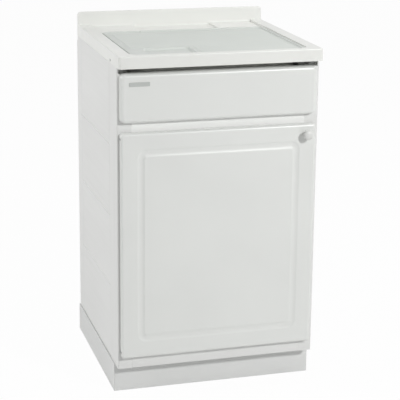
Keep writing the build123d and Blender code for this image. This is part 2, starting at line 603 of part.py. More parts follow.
save(tub_brackets, "tub_brackets")

with BuildPart() as tub_screws:
    for x, y, z in TUB_SCREW_SPOTS:
        side = 1 if x > 0 else -1
        with BuildSketch(Plane(origin=(x, y, z), x_dir=(0, 1, 0), z_dir=(-side, 0, 0))):
            Circle(SCREW_RADIUS)
        extrude(amount=TUB_SCREW_LENGTH)
        with BuildSketch(Plane(origin=(x, y, z), x_dir=(0, 1, 0), z_dir=(-side, 0, 0))):
            Circle(SCREW_HEAD)
        extrude(amount=SCREW_HEAD - SCREW_RADIUS, taper=45)
save(tub_screws, "tub_screws")

# ------------------------------------------------------------ fascia
with BuildPart() as fascia:
    with BuildSketch(Plane.XZ.offset(-FRAME_Y)):
        with Locations((DOOR_X, (FASCIA_BOTTOM + FASCIA_TOP) / 2)):
            RectangleRounded(DOOR_WIDTH, FASCIA_TOP - FASCIA_BOTTOM, FASCIA_CORNER)
    extrude(amount=FACE_PROUD)
    fillet(fascia.edges().group_by(Axis.Y)[0], radius=FASCIA_EDGE)
    for z in FASCIA_SCREW_Z.values():
        for side in SIDES.values():
            with Locations(Plane(origin=(side * FASCIA_SCREW_X, FRAME_Y, z), z_dir=(0, 1, 0))):
                Hole(SCREW_RADIUS + FIT, depth=FASCIA_SCREW_BITE + FIT)
save(fascia, "fascia")

with BuildPart() as fascia_plate:
    plate_x = DOOR_LEFT + PLATE_LEFT + PLATE_WIDTH / 2
    plate_z = FASCIA_TOP - PLATE_DOWN - PLATE_HEIGHT / 2
    with BuildSketch(Plane.XZ.offset(-FACE_Y)):
        with Locations((plate_x, plate_z)):
            RectangleRounded(PLATE_WIDTH, PLATE_HEIGHT, PLATE_ROUND)
    extrude(amount=PLATE_THICKNESS)
save(fascia_plate, "fascia_blank_plate")

with BuildPart() as fascia_screws:
    for z in FASCIA_SCREW_Z.values():
        for side in SIDES.values():
            behind = Plane(origin=(side * FASCIA_SCREW_X, RAIL_BACK_Y, z),
                           x_dir=(1, 0, 0), z_dir=(0, -1, 0))
            with BuildSketch(behind):
                Circle(SCREW_RADIUS)
            extrude(amount=PANEL + FASCIA_SCREW_BITE)
            with BuildSketch(behind):
                Circle(SCREW_HEAD)
            extrude(amount=-SCREW_HEAD_HEIGHT)
save(fascia_screws, "fascia_screws")

# ------------------------------------------------------------ door
TURN_PAST = radians(DOOR_SWING - 90)
SLOT_FRONT = max(EYE_RADIUS + RUN,
                 TAB_WIDTH / 2 / cos(TURN_PAST) + PIN_INSET * tan(TURN_PAST) + RUN)
SLOT_HALF = TAB_THICKNESS / 2 + RUN
KNOB_X = DOOR_RIGHT - KNOB_FROM_RIGHT
KNOB_Z = DOOR_TOP - KNOB_DOWN
DOOR_Z = (DOOR_TOP + DOOR_BOTTOM) / 2
DOOR_HEIGHT = DOOR_TOP - DOOR_BOTTOM
PIN_Z = {"upper": (DOOR_TOP - PIN_SINK - PIN_LENGTH, DOOR_TOP - PIN_SINK),
         "lower": (DOOR_BOTTOM + PIN_SINK, DOOR_BOTTOM + PIN_SINK + PIN_LENGTH)}

with BuildPart() as door:
    with BuildSketch(Plane.XZ.offset(-DOOR_BACK_Y)):
        with Locations((DOOR_X, DOOR_Z)):
            RectangleRounded(DOOR_WIDTH, DOOR_HEIGHT, DOOR_CORNER)
    extrude(amount=DOOR_THICKNESS)
    fillet(door.edges().group_by(Axis.Y)[0], radius=DOOR_EDGE)
    # routed groove: a shallow round section carried round a rectangle
    groove_w = DOOR_WIDTH - 2 * GROOVE_INSET
    groove_h = DOOR_HEIGHT - 2 * GROOVE_INSET
    with BuildLine() as groove_path:
        left, right = DOOR_X - groove_w / 2, DOOR_X + groove_w / 2
        low, high = DOOR_Z - groove_h / 2, DOOR_Z + groove_h / 2
        Polyline((left, FACE_Y, low), (right, FACE_Y, low), (right, FACE_Y, high),
                 (left, FACE_Y, high), close=True)
        fillet(groove_path.vertices(), radius=GROOVE_CORNER)
    groove_wire = groove_path.wire()
    with BuildSketch(Plane(origin=groove_wire @ 0, x_dir=(0, 1, 0), z_dir=groove_wire % 0)):
        with BuildLine():
            ThreePointArc((0, -GROOVE_HALF), (GROOVE_DEEP, 0), (0, GROOVE_HALF))
            Polyline((0, GROOVE_HALF), (-BEYOND, GROOVE_HALF), (-BEYOND, -GROOVE_HALF),
                     (0, -GROOVE_HALF))
        make_face()
    sweep(path=groove_wire, mode=Mode.SUBTRACT)
    # slots for the hinge tabs and bores for the pins
    slot_x = (DOOR_LEFT - BEYOND, PIN_X + EYE_RADIUS + RUN)
    slot_y = (PIN_Y - SLOT_FRONT, DOOR_BACK_Y + BEYOND)
    for which, tab_z in LEAF_Z.items():
        box_between(slot_x, slot_y, (tab_z - SLOT_HALF, tab_z + SLOT_HALF), mode=Mode.SUBTRACT)
        end_z = DOOR_TOP if which == "upper" else DOOR_BOTTOM
        with BuildSketch(Plane.XY.offset(end_z)):
            with Locations((PIN_X, PIN_Y)):
                Circle(PIN_RADIUS + FIT)
        extrude(amount=LEAF_AWAY[which] * (PIN_SINK + PIN_LENGTH), mode=Mode.SUBTRACT)
    with Locations(Plane(origin=(KNOB_X, DOOR_BACK_Y, KNOB_Z), z_dir=(0, 1, 0))):
        Hole(SCREW_RADIUS + FIT, depth=DOOR_THICKNESS)
save(door, "door")

DOME_RADIUS = (KNOB_CROWN ** 2 + KNOB_DOME ** 2) / (2 * KNOB_DOME)
DOME_HALF = asin(KNOB_CROWN / DOME_RADIUS) / 2
with BuildPart() as door_knob:
    with BuildSketch(Plane(origin=(KNOB_X, FACE_Y, KNOB_Z), x_dir=(1, 0, 0), z_dir=(0, 0, 1))):
        with BuildLine():
            Line((0, 0), (KNOB_BASE, 0))
            Spline((KNOB_BASE, 0), (KNOB_NECK, -KNOB_NECK_REACH), (KNOB_CROWN, -KNOB_HEAD_REACH))
            ThreePointArc((KNOB_CROWN, -KNOB_HEAD_REACH),
                          (KNOB_RADIUS, -(KNOB_HEAD_REACH + KNOB_REACH - KNOB_DOME) / 2),
                          (KNOB_CROWN, KNOB_DOME - KNOB_REACH))
            ThreePointArc((KNOB_CROWN, KNOB_DOME - KNOB_REACH),
                          (DOME_RADIUS * sin(DOME_HALF),
                           DOME_RADIUS * (1 - cos(DOME_HALF)) - KNOB_REACH),
                          (0, -KNOB_REACH))
            Line((0, -KNOB_REACH), (0, 0))
        make_face()
    revolve(axis=Axis((KNOB_X, FACE_Y, KNOB_Z), (0, 1, 0)))
    with Locations(Plane(origin=(KNOB_X, FACE_Y, KNOB_Z), z_dir=(0, 1, 0))):
        Hole(SCREW_RADIUS + FIT, depth=KNOB_REACH / 2)
save(door_knob, "door_knob")

with BuildPart() as knob_screw:
    knob_back = Plane(origin=(KNOB_X, DOOR_BACK_Y, KNOB_Z), x_dir=(1, 0, 0), z_dir=(0, -1, 0))
    with BuildSketch(knob_back):
        Circle(SCREW_RADIUS)
    extrude(amount=DOOR_THICKNESS + KNOB_REACH / 2 - RUN)
    with BuildSketch(knob_back):
        Circle(SCREW_HEAD)
    extrude(amount=-DOOR_GAP / 2)
save(knob_screw, "knob_screw")

# ------------------------------------------------------------ hinges
for which, tab_z in LEAF_Z.items():
    with BuildPart() as bracket:
        box_between(LEAF_X, LEAF_Y, leaf_limits(which))
        with BuildSketch(Plane.XY.offset(tab_z - TAB_THICKNESS / 2)):
            with Locations((PIN_X, PIN_Y)):
                Circle(EYE_RADIUS)
            with Locations((PIN_X, (PIN_Y + FRAME_Y + LEAF_THICKNESS) / 2)):
                Rectangle(TAB_WIDTH, FRAME_Y + LEAF_THICKNESS - PIN_Y)
            with Locations((PIN_X, PIN_Y)):
                Circle(PIN_RADIUS + FIT, mode=Mode.SUBTRACT)
        extrude(amount=TAB_THICKNESS)
        for spot in leaf_screw_spots(which):
            with Locations(Plane(origin=spot, z_dir=(0, -1, 0))):
                CounterSinkHole(SCREW_RADIUS + FIT, SCREW_HEAD + FIT, depth=LEAF_THICKNESS)
    save(bracket, f"{which}_hinge_bracket")

    with BuildPart() as pin:
        with BuildSketch(Plane.XY.offset(PIN_Z[which][0])):
            with Locations((PIN_X, PIN_Y)):
                Circle(PIN_RADIUS)
        extrude(amount=PIN_LENGTH)
    save(pin, f"{which}_hinge_pin")

with BuildPart() as hinge_screws:
    for which in LEAF_Z:
        for spot in leaf_screw_spots(which):
            into = Plane(origin=spot, x_dir=(1, 0, 0), z_dir=(0, 1, 0))
            with BuildSketch(into):
                Circle(SCREW_RADIUS)
            extrude(amount=LEAF_SCREW_LENGTH)
            with BuildSketch(into):
                Circle(SCREW_HEAD)
            extrude(amount=SCREW_HEAD - SCREW_RADIUS, taper=45)
save(hinge_screws, "hinge_screws")

# ------------------------------------------------------------ catch and bumpers
CATCH_X = DOOR_RIGHT - CATCH_FROM_EDGE - CATCH_WIDTH / 2
CATCH_Y = DOOR_BACK_Y + STRIKE_THICKNESS + CATCH_AIR
CATCH_TOP_Z = RAIL_Z["mid"][0]
with BuildPart() as catch_body:
    box_between((CATCH_X - CATCH_WIDTH / 2, CATCH_X + CATCH_WIDTH / 2),
                (CATCH_Y, CATCH_Y + CATCH_DEPTH), (CATCH_TOP_Z - CATCH_HEIGHT, CATCH_TOP_Z))
    fillet(catch_body.edges().filter_by(Axis.Y).group_by(Axis.Z)[0], radius=CATCH_ROUND)
save(catch_body, "catch_body")

with BuildPart() as strike_plate:
    box_between((CATCH_X - CATCH_WIDTH / 2 + STRIKE_MARGIN,
                 CATCH_X + CATCH_WIDTH / 2 - STRIKE_MARGIN),
                (DOOR_BACK_Y, DOOR_BACK_Y + STRIKE_THICKNESS),
                (CATCH_TOP_Z - CATCH_HEIGHT + STRIKE_MARGIN, CATCH_TOP_Z - STRIKE_MARGIN))
save(strike_plate, "strike_plate")

BUMPER_ROOM = min(FLOOR_TOP_Z - DOOR_BOTTOM, DOOR_LAP)     # the door's laps on the rails
with BuildPart() as door_bumpers:
    for z in (DOOR_BOTTOM + BUMPER_ROOM / 2, DOOR_TOP - BUMPER_ROOM / 2):
        with BuildSketch(Plane.XZ.offset(-DOOR_BACK_Y)):
            with Locations((DOOR_RIGHT - CATCH_FROM_EDGE - BUMPER_INSET, z)):
                Circle(min(BUMPER_RADIUS, BUMPER_ROOM / 2 - BUMPER_AIR))
        extrude(amount=-(DOOR_GAP - BUMPER_AIR))
save(door_bumpers, "door_bumpers")

# ------------------------------------------------------------ waste
SEAL_TOP_Z = BOWL_FLOOR_Z - TUB_WALL
FLANGE_TOP_Z = SEAL_TOP_Z - SEAL_THICKNESS
BODY_FLOOR_Z = FLANGE_TOP_Z - WASTE_HEIGHT
STRAINER_WEB_Z = BOWL_FLOOR_Z + STRAINER_THICKNESS - STRAINER_DEPTH
BAR_TOP_Z = BODY_FLOOR_Z + WASTE_WALL + WASTE_BAR
INLET_Z = BODY_FLOOR_Z + INLET_UP


def disc(z, radius, height, mode=Mode.ADD):
    """Upright cylinder on the waste's axis, from z upwards."""
    with Locations((0, WASTE_Y, z + height / 2)):
        Cylinder(radius, height, mode=mode)


with BuildPart() as waste_strainer:
    disc(BOWL_FLOOR_Z, STRAINER_RADIUS, STRAINER_THICKNESS)
    fillet(waste_strainer.edges().group_by(Axis.Z)[-1], radius=STRAINER_ROUND)
    disc(STRAINER_WEB_Z, STRAINER_NECK, STRAINER_DEPTH - STRAINER_THICKNESS)
    disc(STRAINER_WEB_Z + STRAINER_WEB, STRAINER_BORE, STRAINER_DEPTH, mode=Mode.SUBTRACT)
    disc(STRAINER_WEB_Z, CENTRE_SCREW_RADIUS + FIT, STRAINER_WEB, mode=Mode.SUBTRACT)
    with BuildSketch(Plane.XY.offset(STRAINER_WEB_Z)):
        with Locations((0, WASTE_Y)):
            with PolarLocations(STRAINER_HOLE_RING, STRAINER_HOLES):
                Circle(STRAINER_HOLE)
    extrude(amount=STRAINER_WEB, mode=Mode.SUBTRACT)
save(waste_strainer, "waste_strainer")

with BuildPart() as waste_seal:
    disc(FLANGE_TOP_Z, WASTE_FLANGE, SEAL_THICKNESS)
    disc(FLANGE_TOP_Z, WASTE_HOLE, SEAL_THICKNESS, mode=Mode.SUBTRACT)
save(waste_seal, "waste_seal")

with BuildPart() as waste_body:
    disc(FLANGE_TOP_Z - WASTE_FLANGE_HEIGHT, WASTE_FLANGE, WASTE_FLANGE_HEIGHT)
    disc(BODY_FLOOR_Z, WASTE_RADIUS, WASTE_HEIGHT)
    disc(BODY_FLOOR_Z - SPIGOT_LENGTH, SPIGOT_RADIUS, SPIGOT_LENGTH)
    with BuildSketch(Plane.XZ.offset(-(WASTE_Y + WASTE_RADIUS - WASTE_WALL))):
        with Locations((0, INLET_Z)):
            Circle(PIPE_RADIUS - PIPE_WALL - FIT)
    extrude(amount=-(INLET_LENGTH + WASTE_WALL))
    disc(BODY_FLOOR_Z + WASTE_WALL, WASTE_RADIUS - WASTE_WALL, WASTE_HEIGHT, mode=Mode.SUBTRACT)
    disc(BODY_FLOOR_Z - SPIGOT_LENGTH, SPIGOT_RADIUS - SPIGOT_WALL, SPIGOT_LENGTH + WASTE_WALL,
         mode=Mode.SUBTRACT)
    bar_half = WASTE_RADIUS - WASTE_WALL / 2
    box_between((-bar_half, bar_half), (WASTE_Y - WASTE_BAR / 2, WASTE_Y + WASTE_BAR / 2),
                (BAR_TOP_Z - WASTE_BAR, BAR_TOP_Z))
    disc(BAR_TOP_Z - WASTE_BAR, CENTRE_SCREW_RADIUS + FIT, WASTE_BAR, mode=Mode.SUBTRACT)
    with BuildSketch(Plane.XZ.offset(-(WASTE_Y + WASTE_RADIUS - 2 * WASTE_WALL))):
        with Locations((0, INLET_Z)):
            Circle(PIPE_RADIUS - 2 * PIPE_WALL - FIT)
    extrude(amount=-(INLET_LENGTH + 3 * WASTE_WALL), mode=Mode.SUBTRACT)
save(waste_body, "waste_body")

with BuildPart() as waste_screw:
    disc(BAR_TOP_Z - WASTE_BAR, CENTRE_SCREW_RADIUS,
         STRAINER_WEB_Z + STRAINER_WEB - BAR_TOP_Z + WASTE_BAR)
    disc(STRAINER_WEB_Z + STRAINER_WEB, CENTRE_SCREW_HEAD, SCREW_HEAD_HEIGHT)
save(waste_screw, "waste_screw")

PLUG_TOP_Z = BOWL_FLOOR_Z + STRAINER_THICKNESS + PLUG_LIFT
PLUG_RADIUS = STRAINER_BORE - PLUG_AIR
with BuildPart() as waste_plug:
    with BuildSketch(Plane.XY.offset(PLUG_TOP_Z - PLUG_HEIGHT)):
        with Locations((0, WASTE_Y)):
            Circle(PLUG_RADIUS - PLUG_TAPER)
    with BuildSketch(Plane.XY.offset(PLUG_TOP_Z)):
        with Locations((0, WASTE_Y)):
            Circle(PLUG_RADIUS)
    loft()
    with BuildSketch(Plane.XZ.offset(-(WASTE_Y + PLUG_TAB_THICKNESS / 2))):
        with Locations((0, PLUG_TOP_Z - PLUG_TAB_SINK + PLUG_TAB_HEIGHT / 2)):
            RectangleRounded(PLUG_TAB_WIDTH, PLUG_TAB_HEIGHT, PLUG_TAB_ROUND)
    extrude(amount=PLUG_TAB_THICKNESS)
save(waste_plug, "waste_plug")

# ------------------------------------------------------------ bottle trap
SHOULDER_Z = BODY_FLOOR_Z - BOTTLE_DROP
BOTTLE_LOW_Z = SHOULDER_Z - BOTTLE_HEIGHT
OUTLET_Z = SHOULDER_Z - OUTLET_DOWN
SOCKET_END_Y = WASTE_Y + BOTTLE_RADIUS + SOCKET_LENGTH


def rear_pipe(z, start_y, end_y, radius, mode=Mode.ADD):
    """Round bar along Y at height z, in the middle of the width."""
    with Locations(Location((0, (start_y + end_y) / 2, z), (90, 0, 0))):
        Cylinder(radius, end_y - start_y, mode=mode)


with BuildPart() as trap_bottle:
    disc(BOTTLE_LOW_Z, BOTTLE_RADIUS, BOTTLE_HEIGHT)
    fillet(trap_bottle.edges().group_by(Axis.Z)[-1], radius=BOTTLE_WALL)
    disc(SHOULDER_Z, COLLAR_RADIUS, COLLAR_HEIGHT)
    rear_pipe(OUTLET_Z, WASTE_Y, SOCKET_END_Y, SOCKET_RADIUS)
    disc(BOTTLE_LOW_Z, BOTTLE_RADIUS - BOTTLE_WALL, BOTTLE_HEIGHT - BOTTLE_WALL, mode=Mode.SUBTRACT)
    disc(BOTTLE_LOW_Z, SPIGOT_RADIUS + RUN, BOTTLE_HEIGHT + COLLAR_HEIGHT, mode=Mode.SUBTRACT)
    rear_pipe(OUTLET_Z, WASTE_Y + BOTTLE_RADIUS - 2 * BOTTLE_WALL, SOCKET_END_Y,
              OUTLET_RADIUS - OUTLET_WALL, mode=Mode.SUBTRACT)
    rear_pipe(OUTLET_Z, SOCKET_END_Y - OUTLET_INSERT, SOCKET_END_Y, OUTLET_RADIUS + FIT,
              mode=Mode.SUBTRACT)
save(trap_bottle, "trap_bottle")

with BuildPart() as trap_top_nut:
    with BuildSketch(Plane.XY.offset(SHOULDER_Z + NUT_AIR)):
        with Locations((0, WASTE_Y)):
            RegularPolygon(NUT_RADIUS, NUT_SIDES)
            Circle(COLLAR_RADIUS + FIT, mode=Mode.SUBTRACT)
    extrude(amount=COLLAR_HEIGHT - NUT_AIR)
    with BuildSketch(Plane.XY.offset(SHOULDER_Z + COLLAR_HEIGHT)):
        with Locations((0, WASTE_Y)):
            RegularPolygon(NUT_RADIUS, NUT_SIDES)
            Circle(SPIGOT_RADIUS + FIT, mode=Mode.SUBTRACT)
    extrude(amount=NUT_LIP)
save(trap_top_nut, "trap_top_nut")

with BuildPart() as trap_cup:
    cup_top_z = BOTTLE_LOW_Z + CUP_GRIP
    disc(cup_top_z - CUP_HEIGHT, CUP_RADIUS, CUP_HEIGHT)
    fillet(trap_cup.edges().group_by(Axis.Z)[0], radius=BOTTLE_WALL)
    disc(BOTTLE_LOW_Z, BOTTLE_RADIUS + FIT, CUP_GRIP, mode=Mode.SUBTRACT)
    disc(cup_top_z - CUP_HEIGHT + BOTTLE_WALL, BOTTLE_RADIUS - BOTTLE_WALL, CUP_HEIGHT,
         mode=Mode.SUBTRACT)
save(trap_cup, "trap_cup")

with BuildPart() as outlet_nut:
    nut_start_y = SOCKET_END_Y - SOCKET_LENGTH / 2
    with BuildSketch(Plane.XZ.offset(-nut_start_y)):
        with Locations((0, OUTLET_Z)):
            RegularPolygon(NUT_RADIUS, NUT_SIDES)
            Circle(SOCKET_RADIUS + FIT, mode=Mode.SUBTRACT)
    extrude(amount=-(SOCKET_END_Y - nut_start_y))
    with BuildSketch(Plane.XZ.offset(-SOCKET_END_Y)):
        with Locations((0, OUTLET_Z)):
            RegularPolygon(NUT_RADIUS, NUT_SIDES)
            Circle(OUTLET_RADIUS + FIT, mode=Mode.SUBTRACT)
    extrude(amount=-NUT_LIP)
save(outlet_nut, "outlet_nut")

with BuildPart() as outlet_pipe:
    mark_y = REAR_Y - OUTLET_FREE_END
    rear_pipe(OUTLET_Z, SOCKET_END_Y - OUTLET_INSERT, mark_y - MARK_WIDTH, OUTLET_RADIUS)
    rear_pipe(OUTLET_Z, mark_y - MARK_WIDTH, mark_y, OUTLET_RADIUS - MARK_DEPTH)
    rear_pipe(OUTLET_Z, mark_y, REAR_Y, OUTLET_RADIUS)
    rear_pipe(OUTLET_Z, SOCKET_END_Y - OUTLET_INSERT, REAR_Y, OUTLET_RADIUS - OUTLET_WALL,
              mode=Mode.SUBTRACT)
save(outlet_pipe, "outlet_pipe")

# ------------------------------------------------------------ overflow
BOWL_BACK_Y = BOWL_REAR_Y + TUB_WALL
with BuildPart() as overflow_rosette:
    rear_pipe(OVERFLOW_Z, BOWL_REAR_Y - ROSETTE_THICKNESS, BOWL_REAR_Y, ROSETTE_RADIUS)
    fillet(overflow_rosette.edges().group_by(Axis.Y)[0], radius=ROSETTE_ROUND)
    rear_pipe(OVERFLOW_Z, BOWL_REAR_Y, BOWL_BACK_Y, OVERFLOW_HOLE)
    with BuildSketch(Plane.XZ.offset(-(BOWL_REAR_Y - ROSETTE_THICKNESS))):
        with Locations((0, OVERFLOW_Z)):
            with GridLocations(0, 2 * ROSETTE_SLOT, 1, ROSETTE_SLOTS):
                SlotOverall(ROSETTE_SLOT_LENGTH, ROSETTE_SLOT)
    extrude(amount=-(ROSETTE_THICKNESS + TUB_WALL), mode=Mode.SUBTRACT)
save(overflow_rosette, "overflow_rosette")

PIPE_DROP_Y = BOWL_BACK_Y + PIPE_BACK
PIPE_END_Y = WASTE_Y + WASTE_RADIUS + RUN
with BuildPart() as overflow_pipe:
    with BuildLine(Plane.YZ) as pipe_path:
        FilletPolyline((BOWL_BACK_Y, OVERFLOW_Z), (PIPE_DROP_Y, OVERFLOW_Z),
                       (PIPE_DROP_Y, INLET_Z), (PIPE_END_Y, INLET_Z), radius=PIPE_BEND)
    with BuildSketch(Plane(origin=(0, BOWL_BACK_Y, OVERFLOW_Z), x_dir=(1, 0, 0), z_dir=(0, 1, 0))):
        Circle(PIPE_RADIUS)
        Circle(PIPE_RADIUS - PIPE_WALL, mode=Mode.SUBTRACT)
    sweep(path=pipe_path.wire())
    with BuildSketch(Plane.XZ.offset(-BOWL_BACK_Y)):
        with Locations((0, OVERFLOW_Z)):
            Circle(ROSETTE_RADIUS)
            Circle(PIPE_RADIUS - PIPE_WALL, mode=Mode.SUBTRACT)
    extrude(amount=-ROSETTE_THICKNESS)
save(overflow_pipe, "overflow_pipe")
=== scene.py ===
"""Looks of the utility laundry sink: smoothed and edge-rounded shells over the CAD solids,
ribbed and turned fittings worked out with numpy, and procedural plastics, steels and rubber."""
import json
import math

import bmesh
import bpy
import numpy as np
from mathutils import Matrix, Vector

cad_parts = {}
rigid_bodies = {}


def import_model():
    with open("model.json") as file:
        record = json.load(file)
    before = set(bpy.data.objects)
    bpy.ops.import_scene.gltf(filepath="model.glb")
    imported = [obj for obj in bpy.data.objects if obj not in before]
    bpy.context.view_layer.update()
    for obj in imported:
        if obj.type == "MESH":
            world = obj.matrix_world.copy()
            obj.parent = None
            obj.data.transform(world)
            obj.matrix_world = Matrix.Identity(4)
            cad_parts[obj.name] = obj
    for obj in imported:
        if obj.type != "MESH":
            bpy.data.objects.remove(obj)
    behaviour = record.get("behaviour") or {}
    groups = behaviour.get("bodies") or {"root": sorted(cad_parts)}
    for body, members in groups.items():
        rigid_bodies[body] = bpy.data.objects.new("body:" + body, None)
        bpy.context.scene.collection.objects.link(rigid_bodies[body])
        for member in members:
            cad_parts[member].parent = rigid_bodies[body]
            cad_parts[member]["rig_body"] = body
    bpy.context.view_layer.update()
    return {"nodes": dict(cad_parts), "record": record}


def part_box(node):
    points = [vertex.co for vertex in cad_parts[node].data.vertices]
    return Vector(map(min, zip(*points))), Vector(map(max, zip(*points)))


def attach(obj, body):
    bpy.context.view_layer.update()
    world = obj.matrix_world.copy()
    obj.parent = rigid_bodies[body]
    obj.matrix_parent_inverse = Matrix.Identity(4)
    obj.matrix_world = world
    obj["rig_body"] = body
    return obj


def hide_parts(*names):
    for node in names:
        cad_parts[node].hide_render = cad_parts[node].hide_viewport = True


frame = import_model()
nodes = frame["nodes"]
body_of = {name: part["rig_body"] for name, part in nodes.items()}
slot_of = {row["node"]: row["material_slot"] for row in frame["record"]["subparts"]}
scene = bpy.context.scene
MM = 0.001


# ------------------------------------------------------------ finishes
NOISE_SPAN = (0.3, 0.7)       # noise values mostly stay between these


class Finish:
    """One procedural finish: patterns on Object coordinates feed a single Principled shader."""

    def __init__(self, name, roughness, metallic=0.0, specular=0.5, coat=0.0, coat_roughness=0.2):
        self.material = bpy.data.materials.new(name)
        self.material.use_nodes = True
        self.tree = self.material.node_tree
        self.shader = self.tree.nodes["Principled BSDF"]
        self.shader.inputs["Roughness"].default_value = roughness
        self.shader.inputs["Metallic"].default_value = metallic
        self.shader.inputs["Specular IOR Level"].default_value = specular
        self.shader.inputs["Coat Weight"].default_value = coat
        self.shader.inputs["Coat Roughness"].default_value = coat_roughness
        self.place = self.tree.nodes.new("ShaderNodeTexCoord").outputs["Object"]
        self.normal = None

    def link(self, start, end):
        self.tree.links.new(start, end)

    def pattern(self, kind, scale):
        """Texture node of a kind, with the object's coordinates scaled along each axis."""
        mapping = self.tree.nodes.new("ShaderNodeMapping")
        mapping.inputs["Scale"].default_value = scale
        texture = self.tree.nodes.new(kind)
        texture.inputs["Scale"].default_value = 1.0
        self.link(self.place, mapping.inputs["Vector"])
        self.link(mapping.outputs["Vector"], texture.inputs["Vector"])
        return texture

    def mottle(self, size, detail=2.0, stretch=(1.0, 1.0, 1.0)):
        """Noise whose blotches measure about size metres, longer by stretch along each axis."""
        noise = self.pattern("ShaderNodeTexNoise", [1.0 / (size * s) for s in stretch])
        noise.inputs["Detail"].default_value = detail
        return noise.outputs[0]

    def flakes(self, size):
        """Cells of about size metres, each with its own value."""
        return self.pattern("ShaderNodeTexVoronoi", [1.0 / size] * 3).outputs["Color"]

    def tint(self, value, dark, light, span=NOISE_SPAN):
        """Base colour from dark to light as value runs over the span."""
        ramp = self.tree.nodes.new("ShaderNodeValToRGB")
        ramp.color_ramp.elements[0].position = span[0]
        ramp.color_ramp.elements[0].color = (*dark, 1.0)
        ramp.color_ramp.elements[1].position = span[1]
        ramp.color_ramp.elements[1].color = (*light, 1.0)
        self.link(value, ramp.inputs["Fac"])
        self.link(ramp.outputs["Color"], self.shader.inputs["Base Color"])

    def dull(self, value, low, high):
        """Roughness from low to high as the noise value runs over its span."""
        scaled = self.tree.nodes.new("ShaderNodeMapRange")
        scaled.inputs["From Min"].default_value = NOISE_SPAN[0]
        scaled.inputs["From Max"].default_value = NOISE_SPAN[1]
        scaled.inputs["To Min"].default_value = low
        scaled.inputs["To Max"].default_value = high
        self.link(value, scaled.inputs["Value"])
        self.link(scaled.outputs["Result"], self.shader.inputs["Roughness"])

    def relief(self, value, depth):
        """Bump of the given depth in metres, laid over the bumps before it."""
        bump = self.tree.nodes.new("ShaderNodeBump")
        bump.inputs["Strength"].default_value = 1.0
        bump.inputs["Distance"].default_value = depth
        self.link(value, bump.inputs["Height"])
        if self.normal is not None:
            self.link(self.normal, bump.inputs["Normal"])
        self.normal = bump.outputs["Normal"]
        self.link(self.normal, self.shader.inputs["Normal"])


def shade(colour, factor):
    """Colour made lighter or darker by a factor."""
    return tuple(min(1.0, c * factor) for c in colour)


def moulded(name, colour, gloss, grain_depth, wave_depth, coat=0.0):
    """Injection-moulded plastic: fine grain, slow sink marks, faint clouding and handling haze."""
    cloud, haze, sink_mark, grain = 0.16, 0.028, 0.06, 0.0009
    made = Finish(name, gloss, coat=coat)
    made.tint(made.mottle(cloud, detail=3.0), shade(colour, 0.972), shade(colour, 1.012))
    made.dull(made.mottle(haze, detail=4.0), gloss - 0.05, gloss + 0.07)
    made.relief(made.mottle(sink_mark, detail=1.0), wave_depth)
    made.relief(made.mottle(grain), grain_depth)
    return made.material


def extruded(name, colour, gloss, along):
    """Extruded plastic profile: fine die lines along one axis over a faint clouding."""
    cloud, die_streak, sag, die_line = 0.11, 0.004, 0.045, 0.0011
    sag_depth, line_depth = 0.22 * MM, 0.022 * MM

    def longer(times):
        return [times if axis == along else 1.0 for axis in range(3)]

    made = Finish(name, gloss)
    made.tint(made.mottle(cloud, 3.0, longer(4.0)), shade(colour, 0.968), shade(colour, 1.014))
    made.dull(made.mottle(die_streak, 3.0, longer(90.0)), gloss - 0.05, gloss + 0.07)
    made.relief(made.mottle(sag, 1.0, longer(6.0)), sag_depth)
    made.relief(made.mottle(die_line, 2.0, longer(90.0)), line_depth)
    return made.material


def film_board(name, colour, gloss):
    """Plastic film drawn over a board: soft orange peel and long, very shallow waves."""
    cloud, haze, board_wave, orange_peel = 0.2, 0.05, 0.09, 0.0026
    wave_depth, peel_depth = 0.18 * MM, 0.018 * MM
    made = Finish(name, gloss, coat=0.4, coat_roughness=0.24)
    made.tint(made.mottle(cloud), shade(colour, 0.978), shade(colour, 1.01))
    made.dull(made.mottle(haze, detail=4.0), gloss - 0.04, gloss + 0.06)
    made.relief(made.mottle(board_wave, detail=1.0), wave_depth)
    made.relief(made.mottle(orange_peel), peel_depth)
    return made.material


def plated(name, colour, gloss, spangle):
    """Zinc or chrome on steel: fine spangles, and drawn lines in the gloss along Y."""
    streak, drawn_line, line_depth = 0.0016, 0.0012, 0.01 * MM
    made = Finish(name, gloss, metallic=1.0)
    made.tint(made.flakes(spangle), shade(colour, 0.86), shade(colour, 1.06), span=(0.1, 0.9))
    made.dull(made.mottle(streak, 3.0, (1.0, 8.0, 1.0)), gloss - 0.05, gloss + 0.1)
    made.relief(made.mottle(drawn_line, 2.0, (1.0, 10.0, 1.0)), line_depth)
    return made.material


def rubbery(name, colour):
    """Matte rubber with a dusty bloom and a fine pebbled skin."""
    bloom, scuff, pebble, pebble_depth = 0.012, 0.006, 0.0006, 0.04 * MM
    made = Finish(name, roughness=0.62, specular=0.35)
    made.tint(made.mottle(bloom, detail=4.0), shade(colour, 0.8), shade(colour, 1.6))
    made.dull(made.mottle(scuff, detail=3.0), 0.55, 0.75)
    made.relief(made.mottle(pebble), pebble_depth)
    return made.material


